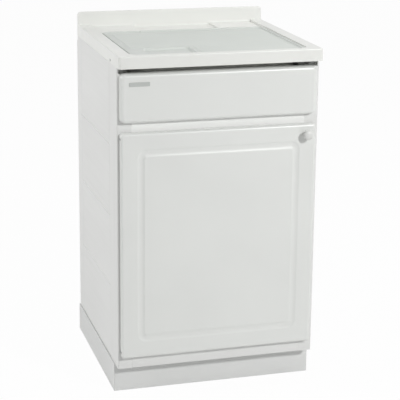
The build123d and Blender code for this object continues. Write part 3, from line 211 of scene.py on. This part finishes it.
ALONG_X, ALONG_Y, ALONG_Z = range(3)
TUB_WHITE = (0.800, 0.808, 0.776)
LID_WHITE = (0.640, 0.668, 0.637)
CABINET_WHITE = (0.752, 0.756, 0.742)
# painted light: the front rails are the cabinet's own plastic, made lighter here to offset the
# shade that the fascia and the tub's apron cast on them
RAIL_WHITE_PAINTED_LIGHT = (0.852, 0.858, 0.842)
FRONT_WHITE = (0.748, 0.760, 0.738)
# painted light: the plinth boards are the same plastic as the plinth sides below, made lighter here
# to offset the shade under the cabinet's overhang
PLINTH_WHITE_PAINTED_LIGHT = (0.742, 0.750, 0.738)
PLINTH_SIDE_WHITE = (0.70, 0.706, 0.695)
KNOB_WHITE = (0.70, 0.705, 0.685)
FITTING_WHITE = (0.80, 0.80, 0.78)
PIPE_WHITE = (0.78, 0.79, 0.785)
PLATE_GREY = (0.50, 0.52, 0.50)
RUBBER_BLACK = (0.028, 0.028, 0.029)
ZINC = (0.60, 0.605, 0.61)
DARK_ZINC = (0.085, 0.08, 0.078)
POLISHED = (0.80, 0.80, 0.79)
finishes = {
    "tub": moulded("tub_moulded_white", TUB_WHITE, 0.34, 0.012 * MM, 0.3 * MM, coat=0.1),
    "lid": moulded("lid_moulded_white", LID_WHITE, 0.42, 0.02 * MM, 0.2 * MM),
    "cabinet": extruded("cabinet_profile_lengthwise", CABINET_WHITE, 0.42, ALONG_Y),
    "upright": extruded("cabinet_profile_upright", CABINET_WHITE, 0.42, ALONG_Z),
    "crosswise": extruded("cabinet_profile_crosswise", CABINET_WHITE, 0.42, ALONG_X),
    # painted light: lighter copy of the crosswise cabinet profile, for the shaded front rails
    "rail": extruded("rail_profile_painted_light", RAIL_WHITE_PAINTED_LIGHT, 0.42, ALONG_X),
    "front": film_board("front_film_white", FRONT_WHITE, 0.37),
    "plate": moulded("blank_plate_grey", PLATE_GREY, 0.38, 0.01 * MM, 0.1 * MM),
    # painted light: lighter copy of the plinth plastic, against the shade under the overhang
    "plinth": extruded("plinth_board_painted_light", PLINTH_WHITE_PAINTED_LIGHT, 0.46, ALONG_X),
    "plinth_side": extruded("plinth_side_white", PLINTH_SIDE_WHITE, 0.46, ALONG_Y),
    "knob": moulded("knob_white", KNOB_WHITE, 0.32, 0.01 * MM, 0.08 * MM),
    "fittings": moulded("fittings_white", FITTING_WHITE, 0.38, 0.02 * MM, 0.1 * MM),
    "pipework": moulded("pipework_white", PIPE_WHITE, 0.3, 0.01 * MM, 0.12 * MM, coat=0.15),
    "rubber": rubbery("black_rubber", RUBBER_BLACK),
    "steel": plated("zinc_plated_steel", ZINC, 0.36, spangle=0.0022),
    "dark_steel": plated("dark_screw_steel", DARK_ZINC, 0.42, spangle=0.0018),
    "bright_steel": plated("polished_steel", POLISHED, 0.13, spangle=0.02),
}


# ------------------------------------------------------------ pieces
SAME_CORNER = 0.008 * MM      # corners of a CAD mesh this close are one
SLIVER = 0.004 * MM           # edges this short are closed up
SAME_SEAM = 0.002 * MM        # points of joined surfaces this close are one
SAME_PLANE = 0.2              # degrees between neighbours that count as one flat face


def settle(mesh, node, finish=None, bevel=0.0, segments=2, crease=30.0):
    """Piece from a mesh: finish and slot of its node, soft shading up to the crease angle in
    degrees, rounded edges bevel metres wide past it, riding on the node's body in its place."""
    piece = bpy.data.objects.new(node + "_skin", mesh)
    scene.collection.objects.link(piece)
    if "custom_normal" in mesh.attributes:
        mesh.attributes.remove(mesh.attributes["custom_normal"])
    mesh.materials.clear()
    mesh.materials.append(finishes[finish or slot_of[node]])
    mesh.shade_smooth()
    mesh.set_sharp_from_angle(angle=math.radians(crease))
    if bevel:
        rounding = piece.modifiers.new("edge_rounding", "BEVEL")
        rounding.width = bevel
        rounding.segments = segments
        rounding.limit_method = "ANGLE"
        rounding.angle_limit = math.radians(crease)
        rounding.use_clamp_overlap = False
        rounding.harden_normals = True
    weight = piece.modifiers.new("flat_faces_first", "WEIGHTED_NORMAL")
    weight.keep_sharp = True
    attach(piece, body_of[node])
    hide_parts(node)


def shell(node, finish=None, bevel=0.0, segments=2, crease=30.0, flatten=True):
    """Copy of a CAD node with its loose triangles joined where their corners meet, and flat
    neighbours made one face, so that edges can be rounded and curves shaded softly."""
    build = bmesh.new()
    build.from_mesh(nodes[node].data)
    bmesh.ops.remove_doubles(build, verts=build.verts, dist=SAME_CORNER)
    bmesh.ops.dissolve_degenerate(build, edges=build.edges, dist=SLIVER)
    if flatten:
        bmesh.ops.dissolve_limit(build, angle_limit=math.radians(SAME_PLANE), verts=build.verts,
                                 edges=build.edges)
    mesh = bpy.data.meshes.new(node + "_skin")
    build.to_mesh(mesh)
    build.free()
    settle(mesh, node, finish, bevel, segments, crease)


def sheet_faces(rows, columns, wrap_rows=False, wrap_columns=False):
    """Corner numbers of the quads of a rows by columns grid, closed round either way if asked."""
    r = np.arange(rows if wrap_rows else rows - 1)[:, None]
    c = np.arange(columns if wrap_columns else columns - 1)[None, :]
    below = (r + 1) % rows
    right = (c + 1) % columns
    return np.stack([r * columns + c, r * columns + right,
                     below * columns + right, below * columns + c], axis=-1).reshape(-1, 4)


def joined_mesh(node, parts):
    """Skin of a node from several (points, faces) sheets: poles and seams merged, normals
    outwards."""
    points, faces, start = [], [], 0
    for spots, corners in parts:
        points.append(spots.reshape(-1, 3))
        faces.extend((np.asarray(corners) + start).tolist())
        start += points[-1].shape[0]
    mesh = bpy.data.meshes.new(node + "_skin")
    mesh.from_pydata(np.concatenate(points), [], faces)
    build = bmesh.new()
    build.from_mesh(mesh)
    bmesh.ops.remove_doubles(build, verts=build.verts, dist=SAME_SEAM)
    bmesh.ops.recalc_face_normals(build, faces=build.faces)
    build.to_mesh(mesh)
    build.free()
    return mesh


def limits(node):
    """Lowest and highest corner of a CAD node's box."""
    low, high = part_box(node)
    return np.array(low), np.array(high)


def eased(value, start, end):
    """Smooth step from 0 at start to 1 at end: 3 t squared - 2 t cubed."""
    t = np.clip((value - start) / (end - start), 0, 1)
    return t * t * (3 - 2 * t)


def soft_line(corners, count):
    """Cubic B-spline over the corner points: ends kept, corners rounded."""
    line = np.asarray(corners, float)
    held = np.concatenate([line[:1], line[:1], line, line[-1:], line[-1:]])
    spans = len(held) - 3
    t = np.linspace(0, spans, count)
    k = np.minimum(t.astype(int), spans - 1)
    u = (t - k)[:, None]
    return ((1 - u) ** 3 * held[k] + (3 * u ** 3 - 6 * u ** 2 + 4) * held[k + 1]
            + (-3 * u ** 3 + 3 * u ** 2 + 3 * u + 1) * held[k + 2] + u ** 3 * held[k + 3]) / 6


def arc(centre, radius, start, end, count):
    """Points of a circle's arc in the section plane, from start to end degrees."""
    a = np.radians(np.linspace(start, end, count))
    return np.stack([centre[0] + radius * np.cos(a), centre[1] + radius * np.sin(a)], axis=1)


def wall(radius, start, end, count):
    """Points of a straight wall at a radius in the section plane, from start to end."""
    return np.stack([np.full(count, radius), np.linspace(start, end, count)], axis=1)


def square_to(axis):
    """Two directions square to an axis and to each other."""
    first = np.array([0.0, 0.0, 1.0]) if abs(axis[2]) < 0.5 else np.array([1.0, 0.0, 0.0])
    return first, np.cross(axis, first)


def turned(section, centre, axis, around, closed=False, wave=None):
    """Surface of revolution: centre + reach * axis + radius * (cos(angle) * first + sin(angle) *
    second) for each section point (radius, reach), with first and second square to the axis;
    wave(angle, radius, reach), if given, is added to the radius."""
    section = np.asarray(section, float)
    angle = np.linspace(0, 2 * math.pi, around, endpoint=False)
    radius = np.repeat(section[:, :1], around, axis=1)
    reach = np.repeat(section[:, 1:], around, axis=1)
    if wave is not None:
        radius = radius + wave(angle[None, :], radius, reach)
    axis = np.asarray(axis, float)
    first, second = square_to(axis)
    spots = (np.asarray(centre, float) + reach[..., None] * axis
             + radius[..., None] * (np.cos(angle)[None, :, None] * first
                                    + np.sin(angle)[None, :, None] * second))
    return spots, sheet_faces(len(section), around, closed, True)


# ------------------------------------------------------------ washboard lid, sizes in mm
LID_CORNER = 21.0             # radius of the outline's corners
BEAD_WIDTH = 8.0              # raised border
BEAD_RISE = 3.0
BEAD_EDGE = 2.0               # rounding of its outer edge
BEAD_SLOPE = 1.2              # half the width of its inner slope
RIB_PITCH = 14.0
RIB_HALF_WIDTH = 5.2
RIB_RISE = 2.0
RIB_END = 7.0                 # length over which a rib's end is rounded
RIB_FULLNESS = 1.2            # power of the cosine across a rib
RIB_MARGIN = 20.0             # outline to the ribs' ends and to the middle of the first rib
RIB_LEAST = 0.01              # half width that a rib's cosine is at least laid over
SOAP_HALF = np.array([57.5, 43.0])
SOAP_INSET = np.array([48.5, 17.5])   # outline's left front corner to the soap recess
SOAP_CORNER = 10.0
SOAP_DEPTH = 5.0
SOAP_LIP, SOAP_FOOT = -0.8, 2.6       # start and end of the recess's wall, inwards
SOAP_TO_RIBS = 10.0
SLAT_RISE = 0.9               # low slats on the recess's floor
SLAT_PITCH = 10.0
SLAT_START, SLAT_FULL = 8.0, 11.0     # recess's outline to the slats
SLAT_SHARPNESS = 8            # even power of the cosine across a slat
NOTCHES_X = (-115.0, 105.0)   # drain notches in the rear border
NOTCH_FLAT, NOTCH_HALF = 1.8, 2.6     # half widths of a notch at its foot and its top
BAND = BEAD_WIDTH + 3.0       # stretch along the outline with close grid lines


def rounded_distance(x, y, centre, half, corner):
    """Signed distance to a rounded rectangle: negative inside, zero on its outline."""
    qx = np.abs(x - centre[0]) - half[0] + corner
    qy = np.abs(y - centre[1]) - half[1] + corner
    past_corner = np.hypot(np.clip(qx, 0, None), np.clip(qy, 0, None))
    return past_corner + np.minimum(np.maximum(qx, qy), 0) - corner


def near(place, start, end, count):
    """Grid lines from start to end, counted from a place."""
    return place + np.linspace(start, end, count)


def lid_grid(low, high, soap_centre):
    """Points x, y of the lid's grid: close lines at the border, the recess, the notches and the
    ribs' ends; each row is narrowed to the outline's corner arcs, x = centre + (x - centre) times
    the row's half width over the full one."""
    half = (high - low)[:2] / 2
    centre = (high + low)[:2] / 2
    ease = BEAD_EDGE * (1 - np.cos(np.linspace(0, math.pi / 2, 5)))[:-1]
    band = np.concatenate([ease, np.linspace(BEAD_EDGE, BAND, 14)])
    across = np.unique(np.round(np.concatenate([
        low[0] + band, high[0] - band, np.linspace(low[0] + BAND, high[0] - BAND, 80),
        near(soap_centre[0] - SOAP_HALF[0], -3, 14, 18),
        near(soap_centre[0] + SOAP_HALF[0], -14, 24, 40),
        *(near(notch, -3, 3, 9) for notch in NOTCHES_X),
        near(low[0] + RIB_MARGIN, -2, 9, 8), near(high[0] - RIB_MARGIN, -9, 2, 8)]), 3))
    along = np.unique(np.round(np.concatenate([
        low[1] + band, high[1] - band, np.linspace(low[1] + BAND, high[1] - BAND, 236)]), 3))
    y = np.repeat(along[:, None], len(across), axis=1)
    x = np.repeat(across[None, :], len(along), axis=0)
    into_corner = np.clip(np.abs(y - centre[1]) - (half[1] - LID_CORNER), 0, LID_CORNER)
    narrow = LID_CORNER - np.sqrt(LID_CORNER ** 2 - into_corner ** 2)
    return centre[0] + (x - centre[0]) * (half[0] - narrow) / half[0], y


def lid_border(x, y, centre, half):
    """Height of the border: a bead that eases to 0 at its inner side, less a quarter circle at
    its outer edge, and cut through by the drain notches at the rear."""
    inside = -rounded_distance(x, y, centre, half, LID_CORNER)
    short = np.clip(BEAD_EDGE - inside, 0, BEAD_EDGE)
    rounding = BEAD_EDGE - np.sqrt(np.clip(BEAD_EDGE ** 2 - short ** 2, 0, None))
    off_notch = np.min([np.abs(x - notch) for notch in NOTCHES_X], axis=0)
    cut = (1 - eased(off_notch, NOTCH_FLAT, NOTCH_HALF)) * (y > centre[1])
    bead = BEAD_RISE * (1 - eased(inside, BEAD_WIDTH - BEAD_SLOPE, BEAD_WIDTH + BEAD_SLOPE))
    return (bead - rounding) * (1 - cut)


def lid_ribs(x, y, low, high, soap_centre):
    """Height of the ribs: a powered cosine across each rib, whose width follows a circle at its
    ends; the ribs in front start to the right of the soap recess."""
    first_rib = low[1] + RIB_MARGIN
    count = int((high[1] - low[1] - 2 * RIB_MARGIN) / RIB_PITCH)
    rib_y = first_rib + np.clip(np.round((y - first_rib) / RIB_PITCH), 0, count) * RIB_PITCH
    beside_soap = rib_y < soap_centre[1] + SOAP_HALF[1] + RIB_PITCH
    start = np.where(beside_soap, soap_centre[0] + SOAP_HALF[0] + SOAP_TO_RIBS, low[0] + RIB_MARGIN)
    from_end = np.minimum(x - start, high[0] - RIB_MARGIN - x)
    round_end = np.clip(from_end / RIB_END, 0, 1)
    lane = RIB_HALF_WIDTH * np.sqrt(1 - (1 - round_end) ** 2)
    off = np.clip(np.abs(y - rib_y) / np.maximum(lane, RIB_LEAST), 0, 1)
    return RIB_RISE * np.where(lane > 0, np.cos(math.pi / 2 * off) ** RIB_FULLNESS, 0)


def soap_recess(x, y, soap_centre):
    """Depth of the soap recess: an eased wall down to a floor with low slats, each a cosine to an
    even power."""
    inwards = -rounded_distance(x, y, soap_centre, SOAP_HALF, SOAP_CORNER)
    slat = np.cos(math.pi * (x - soap_centre[0]) / SLAT_PITCH) ** SLAT_SHARPNESS
    return (SOAP_DEPTH * eased(inwards, SOAP_LIP, SOAP_FOOT)
            - SLAT_RISE * eased(inwards, SLAT_START, SLAT_FULL) * slat)


def washboard():
    """Lid: height over the grid = field + border + ribs - soap recess; a straight side goes down
    from its rim to a flat underside."""
    low, high = (corner / MM for corner in limits("washboard_lid"))
    half = (high - low)[:2] / 2
    centre = (high + low)[:2] / 2
    soap_centre = low[:2] + SOAP_INSET + SOAP_HALF
    x, y = lid_grid(low, high, soap_centre)
    field = high[2] - BEAD_RISE
    z = (field + lid_border(x, y, centre, half) + lid_ribs(x, y, low, high, soap_centre)
         - soap_recess(x, y, soap_centre))
    top = np.stack([x, y, z], axis=-1) * MM
    rim = np.concatenate([top[0, :], top[1:, -1], top[-1, -2::-1], top[-2:0:-1, 0]])
    foot = np.concatenate([rim[:, :2], np.full((len(rim), 1), low[2] * MM)], axis=1)
    side = np.stack([rim, foot])
    underside = (foot, [list(range(len(foot)))])
    parts = [(top, sheet_faces(*x.shape)), (side, sheet_faces(2, len(rim), False, True)), underside]
    settle(joined_mesh("washboard_lid", parts), "washboard_lid", crease=40.0)


washboard()


# ------------------------------------------------------------ turned pieces
def knob():
    """Door knob: foot, waist and mushroom head turned about the reach towards the front; section
    points are (radius, reach) in mm."""
    low, high = limits("door_knob")
    back_middle = (low + high) / 2
    back_middle[1] = high[1]
    outline = soft_line([(8.3, 0.0), (8.4, 0.0), (8.5, 0.5), (8.1, 1.6), (6.9, 4.0), (6.4, 7.5),
                         (7.0, 10.5), (9.6, 12.2), (11.8, 13.4), (12.55, 14.8), (12.55, 17.6),
                         (12.0, 19.4), (10.0, 21.8), (6.6, 23.4), (3.0, 24.0), (0.0, 24.02)],
                        count=60)
    section = np.concatenate([[(0.0, 0.0), (2.0, 0.0)], outline]) * MM
    parts = [turned(section, back_middle, axis=(0, -1, 0), around=72)]
    settle(joined_mesh("door_knob", parts), "door_knob", "knob", crease=50.0)


knob()

GRIPS = 12                    # finger grips round a trap nut
GRIP_DEPTH = 1.1 * MM
GRIP_START, GRIP_FULL = 0.08, 0.3     # from either face, in shares of the nut's length
GRIP_FULLNESS = 1.5           # power of the cosine across a grip
NUT_CORNER = 1.4 * MM


def trap_nut(node, along, bore):
    """Threaded ring about an axis: an annular section with rounded corners, its outside cut by
    finger grips, a powered cosine round it that fades towards both faces."""
    low, high = limits(node)
    outer = (high[0] - low[0]) / 2
    start, end = low[along], high[along]
    middle = (low + high) / 2
    middle[along] = 0.0
    section = np.concatenate([
        [(bore, start), (outer - NUT_CORNER, start)],
        arc((outer - NUT_CORNER, start + NUT_CORNER), NUT_CORNER, -90, 0, 5),
        wall(outer, start + 2 * NUT_CORNER, end - 2 * NUT_CORNER, 9),
        arc((outer - NUT_CORNER, end - NUT_CORNER), NUT_CORNER, 0, 90, 5),
        [(bore, end)]])

    def grip(angle, radius, reach):
        from_face = np.minimum(reach - start, end - reach) / (end - start)
        groove = np.clip(np.cos(angle * GRIPS), 0, 1) ** GRIP_FULLNESS
        dip = GRIP_DEPTH * groove * eased(from_face, GRIP_START, GRIP_FULL)
        return np.where(radius > bore + NUT_CORNER, -dip, 0.0)

    parts = [turned(section, middle, np.eye(3)[along], GRIPS * 12, closed=True, wave=grip)]
    settle(joined_mesh(node, parts), node, crease=40.0)


trap_nut("trap_top_nut", ALONG_Z, bore=20.2 * MM)
trap_nut("outlet_nut", ALONG_Y, bore=20.1 * MM)

CUP_RIBS = 18
CUP_RIB_DEPTH = 1.3 * MM
CUP_RIB_FADE = 3 * MM         # height over which a rib comes up at either end
CUP_RIB_FULLNESS = 0.8        # power of the sine across a hollow
CUP_SIDE = 0.5 * MM           # section points this close to the widest are cut by the hollows
CUP_BORE = 32.2 * MM          # socket of the bottle's end
CUP_SOCKET = 11 * MM
CUP_WELL = 28 * MM            # radius of the room below the socket
CUP_FLOOR = 4 * MM
CUP_FOOT_CORNER = 3 * MM
CUP_TOP_CORNER = 1.2 * MM
CUP_DIMPLE = 1.2 * MM         # depth of the dimple in the cup's foot
CUP_DIMPLE_RADIUS = 9 * MM


def trap_cup():
    """Bottle's screw cup: a round section with a dimpled foot, and hollows round its side that
    follow a powered sine and fade towards both ends, which leaves ribs between them."""
    low, high = limits("trap_cup")
    foot = (low + high) / 2
    foot[2] = low[2]
    tall, wide = high[2] - low[2], (high[0] - low[0]) / 2
    rib_low, rib_high = 5 * MM, tall - 3 * MM
    section = np.concatenate([
        [(0.0, CUP_DIMPLE), (CUP_DIMPLE_RADIUS, CUP_DIMPLE), (CUP_DIMPLE_RADIUS + MM, 0.0),
         (wide - CUP_FOOT_CORNER - 2 * MM, 0.0)],
        arc((wide - CUP_FOOT_CORNER, CUP_FOOT_CORNER), CUP_FOOT_CORNER, -90, 0, 6),
        wall(wide, rib_low, rib_high, 10),
        arc((wide - CUP_TOP_CORNER, tall - CUP_TOP_CORNER), CUP_TOP_CORNER, 0, 90, 4),
        [(CUP_BORE, tall), (CUP_BORE, tall - CUP_SOCKET), (CUP_WELL, tall - CUP_SOCKET),
         (CUP_WELL, CUP_FLOOR), (0.0, CUP_FLOOR)]])

    def hollow(angle, radius, reach):
        from_end = np.minimum(reach - rib_low, rib_high - reach)
        across = np.clip(np.sin(angle * CUP_RIBS), 0, 1) ** CUP_RIB_FULLNESS
        dip = CUP_RIB_DEPTH * across * eased(from_end, 0, CUP_RIB_FADE)
        return np.where(radius > wide - CUP_SIDE, -dip, 0)

    parts = [turned(section, foot, axis=(0, 0, 1), around=CUP_RIBS * 12, wave=hollow)]
    settle(joined_mesh("trap_cup", parts), "trap_cup", crease=38.0)


trap_cup()


# ------------------------------------------------------------ screws
SCREW_HEAD = 3.5 * MM         # radius of every screw's head
SCREW_SHANK = 1.75 * MM       # radius of its shank
SCREW_TIP = 0.3 * SCREW_SHANK
COUNTERSINK = 1.75 * MM       # height of a countersunk head
FLAT_SEAT = 0.02 * MM         # height of a domed head's flat underside
HEAD_RINGS, HEAD_SPOKES = 13, 48
# the cross, in shares of the head's radius
CROSS_WIDTH = (0.1, 0.22)     # half width of an arm at its foot and at its top
CROSS_REACH = (0.2, 0.68)     # up to where an arm is deepest, and where it ends
CROSS_DEPTH = 0.42


def cross_screw(spot, out, rise, sink, length):
    """Cross-head screw: height over a polar grid = domed or flat head minus a cross that is deep
    at the middle and shallow at its tips; below it a cone or flat and the shank."""
    out = np.asarray(out, float)
    ring = np.linspace(0, 1, HEAD_RINGS)[:, None]
    angle = np.linspace(0, 2 * math.pi, HEAD_SPOKES, endpoint=False)[None, :]
    across = SCREW_HEAD * ring * np.cos(angle)
    along = SCREW_HEAD * ring * np.sin(angle)
    arm = np.minimum(np.abs(across), np.abs(along)) / SCREW_HEAD
    reach = np.maximum(np.abs(across), np.abs(along)) / SCREW_HEAD
    cut = (1 - eased(arm, *CROSS_WIDTH)) * (1 - eased(reach, *CROSS_REACH))
    height = rise * np.sqrt(1 - ring ** 2) - CROSS_DEPTH * SCREW_HEAD * cut
    first, second = square_to(out)
    face = (np.asarray(spot, float) + height[..., None] * out + across[..., None] * first
            + along[..., None] * second)
    body = [(SCREW_HEAD, 0.0), (SCREW_SHANK, -sink), (SCREW_SHANK, -length + SCREW_SHANK),
            (SCREW_TIP, -length), (0, -length)]
    return [(face, sheet_faces(HEAD_RINGS, HEAD_SPOKES, False, True)),
            turned(body, spot, out, HEAD_SPOKES)]


def screw_set(node, places, rise, sink, length):
    """All screws of a node as one piece, from the (middle of the head, way out) of each."""
    parts = []
    for spot, out in places:
        parts += cross_screw(spot, out, rise, sink, length)
    settle(joined_mesh(node, parts), node, crease=35.0)


def tub_screws():
    """A countersunk screw in each side skirt, a little below its face."""
    low, high = limits("tub_screws")
    middle = (low + high) / 2
    depth = 0.15 * MM
    places = [((low[0] + depth, middle[1], middle[2]), (-1, 0, 0)),
              ((high[0] - depth, middle[1], middle[2]), (1, 0, 0))]
    screw_set("tub_screws", places, 0.0, COUNTERSINK, 19.8 * MM)


def fascia_screws():
    """Four domed screws at the fascia's back, at the corners of their box."""
    low, high = limits("fascia_screws")
    dome = 2.0 * MM
    places = [((x, high[1] - dome, z), (0, 1, 0))
              for x in (low[0] + SCREW_HEAD, high[0] - SCREW_HEAD)
              for z in (low[2] + SCREW_HEAD, high[2] - SCREW_HEAD)]
    screw_set("fascia_screws", places, dome, FLAT_SEAT, high[1] - low[1] - dome)


def hinge_screws():
    """Two countersunk screws in each hinge bracket's leaf."""
    low, high = limits("hinge_screws")
    x = (low[0] + high[0]) / 2
    bottom, top = low[2] + SCREW_HEAD, high[2] - SCREW_HEAD
    apart, depth = 22 * MM, 0.1 * MM
    places = [((x, low[1] + depth, z), (0, -1, 0))
              for z in (bottom, bottom + apart, top - apart, top)]
    screw_set("hinge_screws", places, 0.0, COUNTERSINK, 13.9 * MM)


def knob_screw():
    """Domed screw from the door's back into the knob."""
    low, high = limits("knob_screw")
    middle = (low + high) / 2
    dome, short = 1.0 * MM, 0.2 * MM
    places = [((middle[0], high[1] - dome, middle[2]), (0, 1, 0))]
    screw_set("knob_screw", places, dome, FLAT_SEAT, high[1] - low[1] - dome - short)


tub_screws()
fascia_screws()
hinge_screws()
knob_screw()


def bumpers():
    """Door bumpers: low rubber domes, a flat foot and a quarter-circle side."""
    low, high = limits("door_bumpers")
    radius = (high[0] - low[0]) / 2
    tall = high[1] - low[1]
    side = 0.3 * tall
    rounding = tall - side
    section = np.concatenate([[(0.0, 0.0), (radius, 0.0), (radius, side)],
                              arc((radius - rounding, side), rounding, 0, 90, 6), [(0.0, tall)]])
    spots = [((low[0] + high[0]) / 2, low[1], z) for z in (low[2] + radius, high[2] - radius)]
    parts = [turned(section, spot, axis=(0, 1, 0), around=40) for spot in spots]
    settle(joined_mesh("door_bumpers", parts), "door_bumpers", crease=40.0)


bumpers()

# ------------------------------------------------------------ shells over the CAD solids
# widths of the rounded edges
FINE_EDGE = 0.3 * MM
PLANK_EDGE = 0.5 * MM
PROFILE_EDGE = 0.6 * MM
BOARD_EDGE = 0.8 * MM
BLOCK_EDGE = 1.2 * MM

for name in ("tub", "door", "fascia"):
    shell(name, crease=28.0, flatten=False)
shell("fascia_blank_plate", bevel=FINE_EDGE, segments=3)
for side in ("left", "right"):
    shell(f"{side}_front_post", "upright", flatten=False)
    shell(f"{side}_rear_post", "upright", bevel=PROFILE_EDGE)
    for number in range(1, 5):
        shell(f"{side}_side_plank_{number}", bevel=PLANK_EDGE)
    shell(f"plinth_{side}", "plinth_side", bevel=BOARD_EDGE)
    shell(f"{side}_floor_batten", bevel=BOARD_EDGE)
# the front rails take the lighter rail finish, whose colour holds painted light
for name in ("front_mid_rail", "front_top_rail"):
    shell(name, "rail", bevel=PROFILE_EDGE)
for name in ("front_bottom_rail", "rear_top_rail", "rear_bottom_rail", "floor_panel"):
    shell(name, "crosswise", bevel=PROFILE_EDGE)
# these boards take the plinth finish, whose colour holds painted light
for name in ("plinth_front", "plinth_rear"):
    shell(name, bevel=BOARD_EDGE)
shell("plinth_corner_blocks", bevel=BLOCK_EDGE)
for name in ("tub_brackets", "catch_body"):
    shell(name, bevel=PROFILE_EDGE)
for name in ("strike_plate", "upper_hinge_bracket", "lower_hinge_bracket", "upper_hinge_pin",
             "lower_hinge_pin"):
    shell(name, bevel=FINE_EDGE)
for name in ("waste_strainer", "waste_seal", "waste_body", "waste_screw", "waste_plug",
             "trap_bottle", "outlet_pipe", "overflow_rosette", "overflow_pipe"):
    shell(name, crease=35.0, flatten=False)

# ------------------------------------------------------------ floor, light and camera, in metres
WHITE = (1.0, 1.0, 1.0, 1.0)
FLOOR_REACH = 14.0            # floor's middle to its edges
FLOOR_LINES = 15
FLOOR_GLOW = 0.97             # share of plain white in the floor as it is seen
ROOM_LIGHT = 0.31             # strength of the room as light


def looked_at(tree):
    """1 on rays from the camera, also by way of a reflection or glass, and 0 on all others."""
    rays = tree.nodes.new("ShaderNodeLightPath")
    reached = rays.outputs["Is Camera Ray"]
    for way in ("Is Glossy Ray", "Is Transmission Ray"):
        either = tree.nodes.new("ShaderNodeMath")
        either.operation = "MAXIMUM"
        tree.links.new(reached, either.inputs[0])
        tree.links.new(rays.outputs[way], either.inputs[1])
        reached = either.outputs["Value"]
    return reached


def floor_paper():
    """Paper-white finish: mostly plain white where it is looked at, so that the object's shadow
    stays soft, and dull paper for the light that it throws back."""
    paper = Finish("studio_paper", 0.95, specular=0.0)
    paper.tint(paper.mottle(0.4), dark=(0.80, 0.80, 0.80), light=(0.82, 0.82, 0.82))
    glow = paper.tree.nodes.new("ShaderNodeEmission")
    glow.inputs["Color"].default_value = WHITE
    glow.inputs["Strength"].default_value = 1.0
    share = paper.tree.nodes.new("ShaderNodeMath")
    share.operation = "MULTIPLY"
    share.inputs[1].default_value = FLOOR_GLOW
    paper.link(looked_at(paper.tree), share.inputs[0])
    blend = paper.tree.nodes.new("ShaderNodeMixShader")
    paper.link(share.outputs["Value"], blend.inputs["Fac"])
    paper.link(paper.shader.outputs["BSDF"], blend.inputs[1])
    paper.link(glow.outputs["Emission"], blend.inputs[2])
    paper.link(blend.outputs["Shader"], paper.tree.nodes["Material Output"].inputs["Surface"])
    return paper.material


def floor_surface():
    """Level floor grid round the object, at height 0."""
    edge = np.linspace(-FLOOR_REACH, FLOOR_REACH, FLOOR_LINES)
    x, y = np.meshgrid(edge, edge)
    spots = np.stack([x, y, np.zeros_like(x)], axis=-1)
    mesh = bpy.data.meshes.new("studio_floor")
    mesh.from_pydata(spots.reshape(-1, 3), [], sheet_faces(FLOOR_LINES, FLOOR_LINES).tolist())
    mesh.materials.append(floor_paper())
    floor = bpy.data.objects.new("studio_floor", mesh)
    scene.collection.objects.link(floor)


floor_surface()


def lamp(name, spot, target, size, power):
    """Square area lamp at spot, facing target."""
    light = bpy.data.lights.new(name, "AREA")
    light.shape = "SQUARE"
    light.size = size
    light.energy = power
    carrier = bpy.data.objects.new(name, light)
    scene.collection.objects.link(carrier)
    away = np.asarray(spot, float) - np.asarray(target, float)
    away /= np.linalg.norm(away)
    right = np.cross((0, 0, 1), away)
    right /= np.linalg.norm(right)
    above = np.cross(away, right)
    turn = [[right[i], above[i], away[i], spot[i]] for i in range(3)]
    carrier.matrix_world = Matrix(turn + [[0, 0, 0, 1]])


def studio():
    """Key from the upper right front, fills from the left and from the upper right, and an even
    dim room that is white where it is looked at."""
    lamp("key_lamp", (1.5, -3.2, 2.35), target=(0, -0.1, 0.5), size=0.34, power=78.5)
    lamp("left_fill", (-3.0, 0.35, 1.9), target=(-0.25, 0.0, 0.55), size=1.6, power=45.0)
    lamp("top_fill", (1.5, 0.25, 2.7), target=(0.1, 0.1, 0.85), size=1.2, power=14.0)
    world = bpy.data.worlds.new("pale_room")
    scene.world = world
    world.use_nodes = True
    tree = world.node_tree
    room = tree.nodes["Background"]
    room.inputs["Color"].default_value = WHITE
    room.inputs["Strength"].default_value = ROOM_LIGHT
    paper = tree.nodes.new("ShaderNodeBackground")
    paper.inputs["Color"].default_value = WHITE
    blend = tree.nodes.new("ShaderNodeMixShader")
    tree.links.new(looked_at(tree), blend.inputs["Fac"])
    tree.links.new(room.outputs["Background"], blend.inputs[1])
    tree.links.new(paper.outputs["Background"], blend.inputs[2])
    tree.links.new(blend.outputs["Shader"], tree.nodes["World Output"].inputs["Surface"])


studio()

CAMERA_SPOT = (-0.934, -3.295, 1.418)
CAMERA_PAN = -16.07           # degrees about Z, below 0 to the right
CAMERA_TILT = 75.47           # degrees up from straight down
CAMERA_ROLL = 0.54            # degrees about its own line of sight


def photo_camera():
    """Camera of the photograph's view: place, turn to the right, tilt down and a slight roll."""
    data = bpy.data.cameras.new("photo_camera")
    data.lens = 124.65
    data.sensor_width = 36.0
    data.shift_y = -0.1
    data.clip_end = 60.0
    camera = bpy.data.objects.new("photo_camera", data)
    scene.collection.objects.link(camera)
    turn = (Matrix.Rotation(math.radians(CAMERA_PAN), 4, "Z")
            @ Matrix.Rotation(math.radians(CAMERA_TILT), 4, "X")
            @ Matrix.Rotation(math.radians(CAMERA_ROLL), 4, "Z"))
    camera.matrix_world = Matrix.Translation(CAMERA_SPOT) @ turn
    scene.camera = camera


photo_camera()
scene.view_settings.view_transform = "Standard"
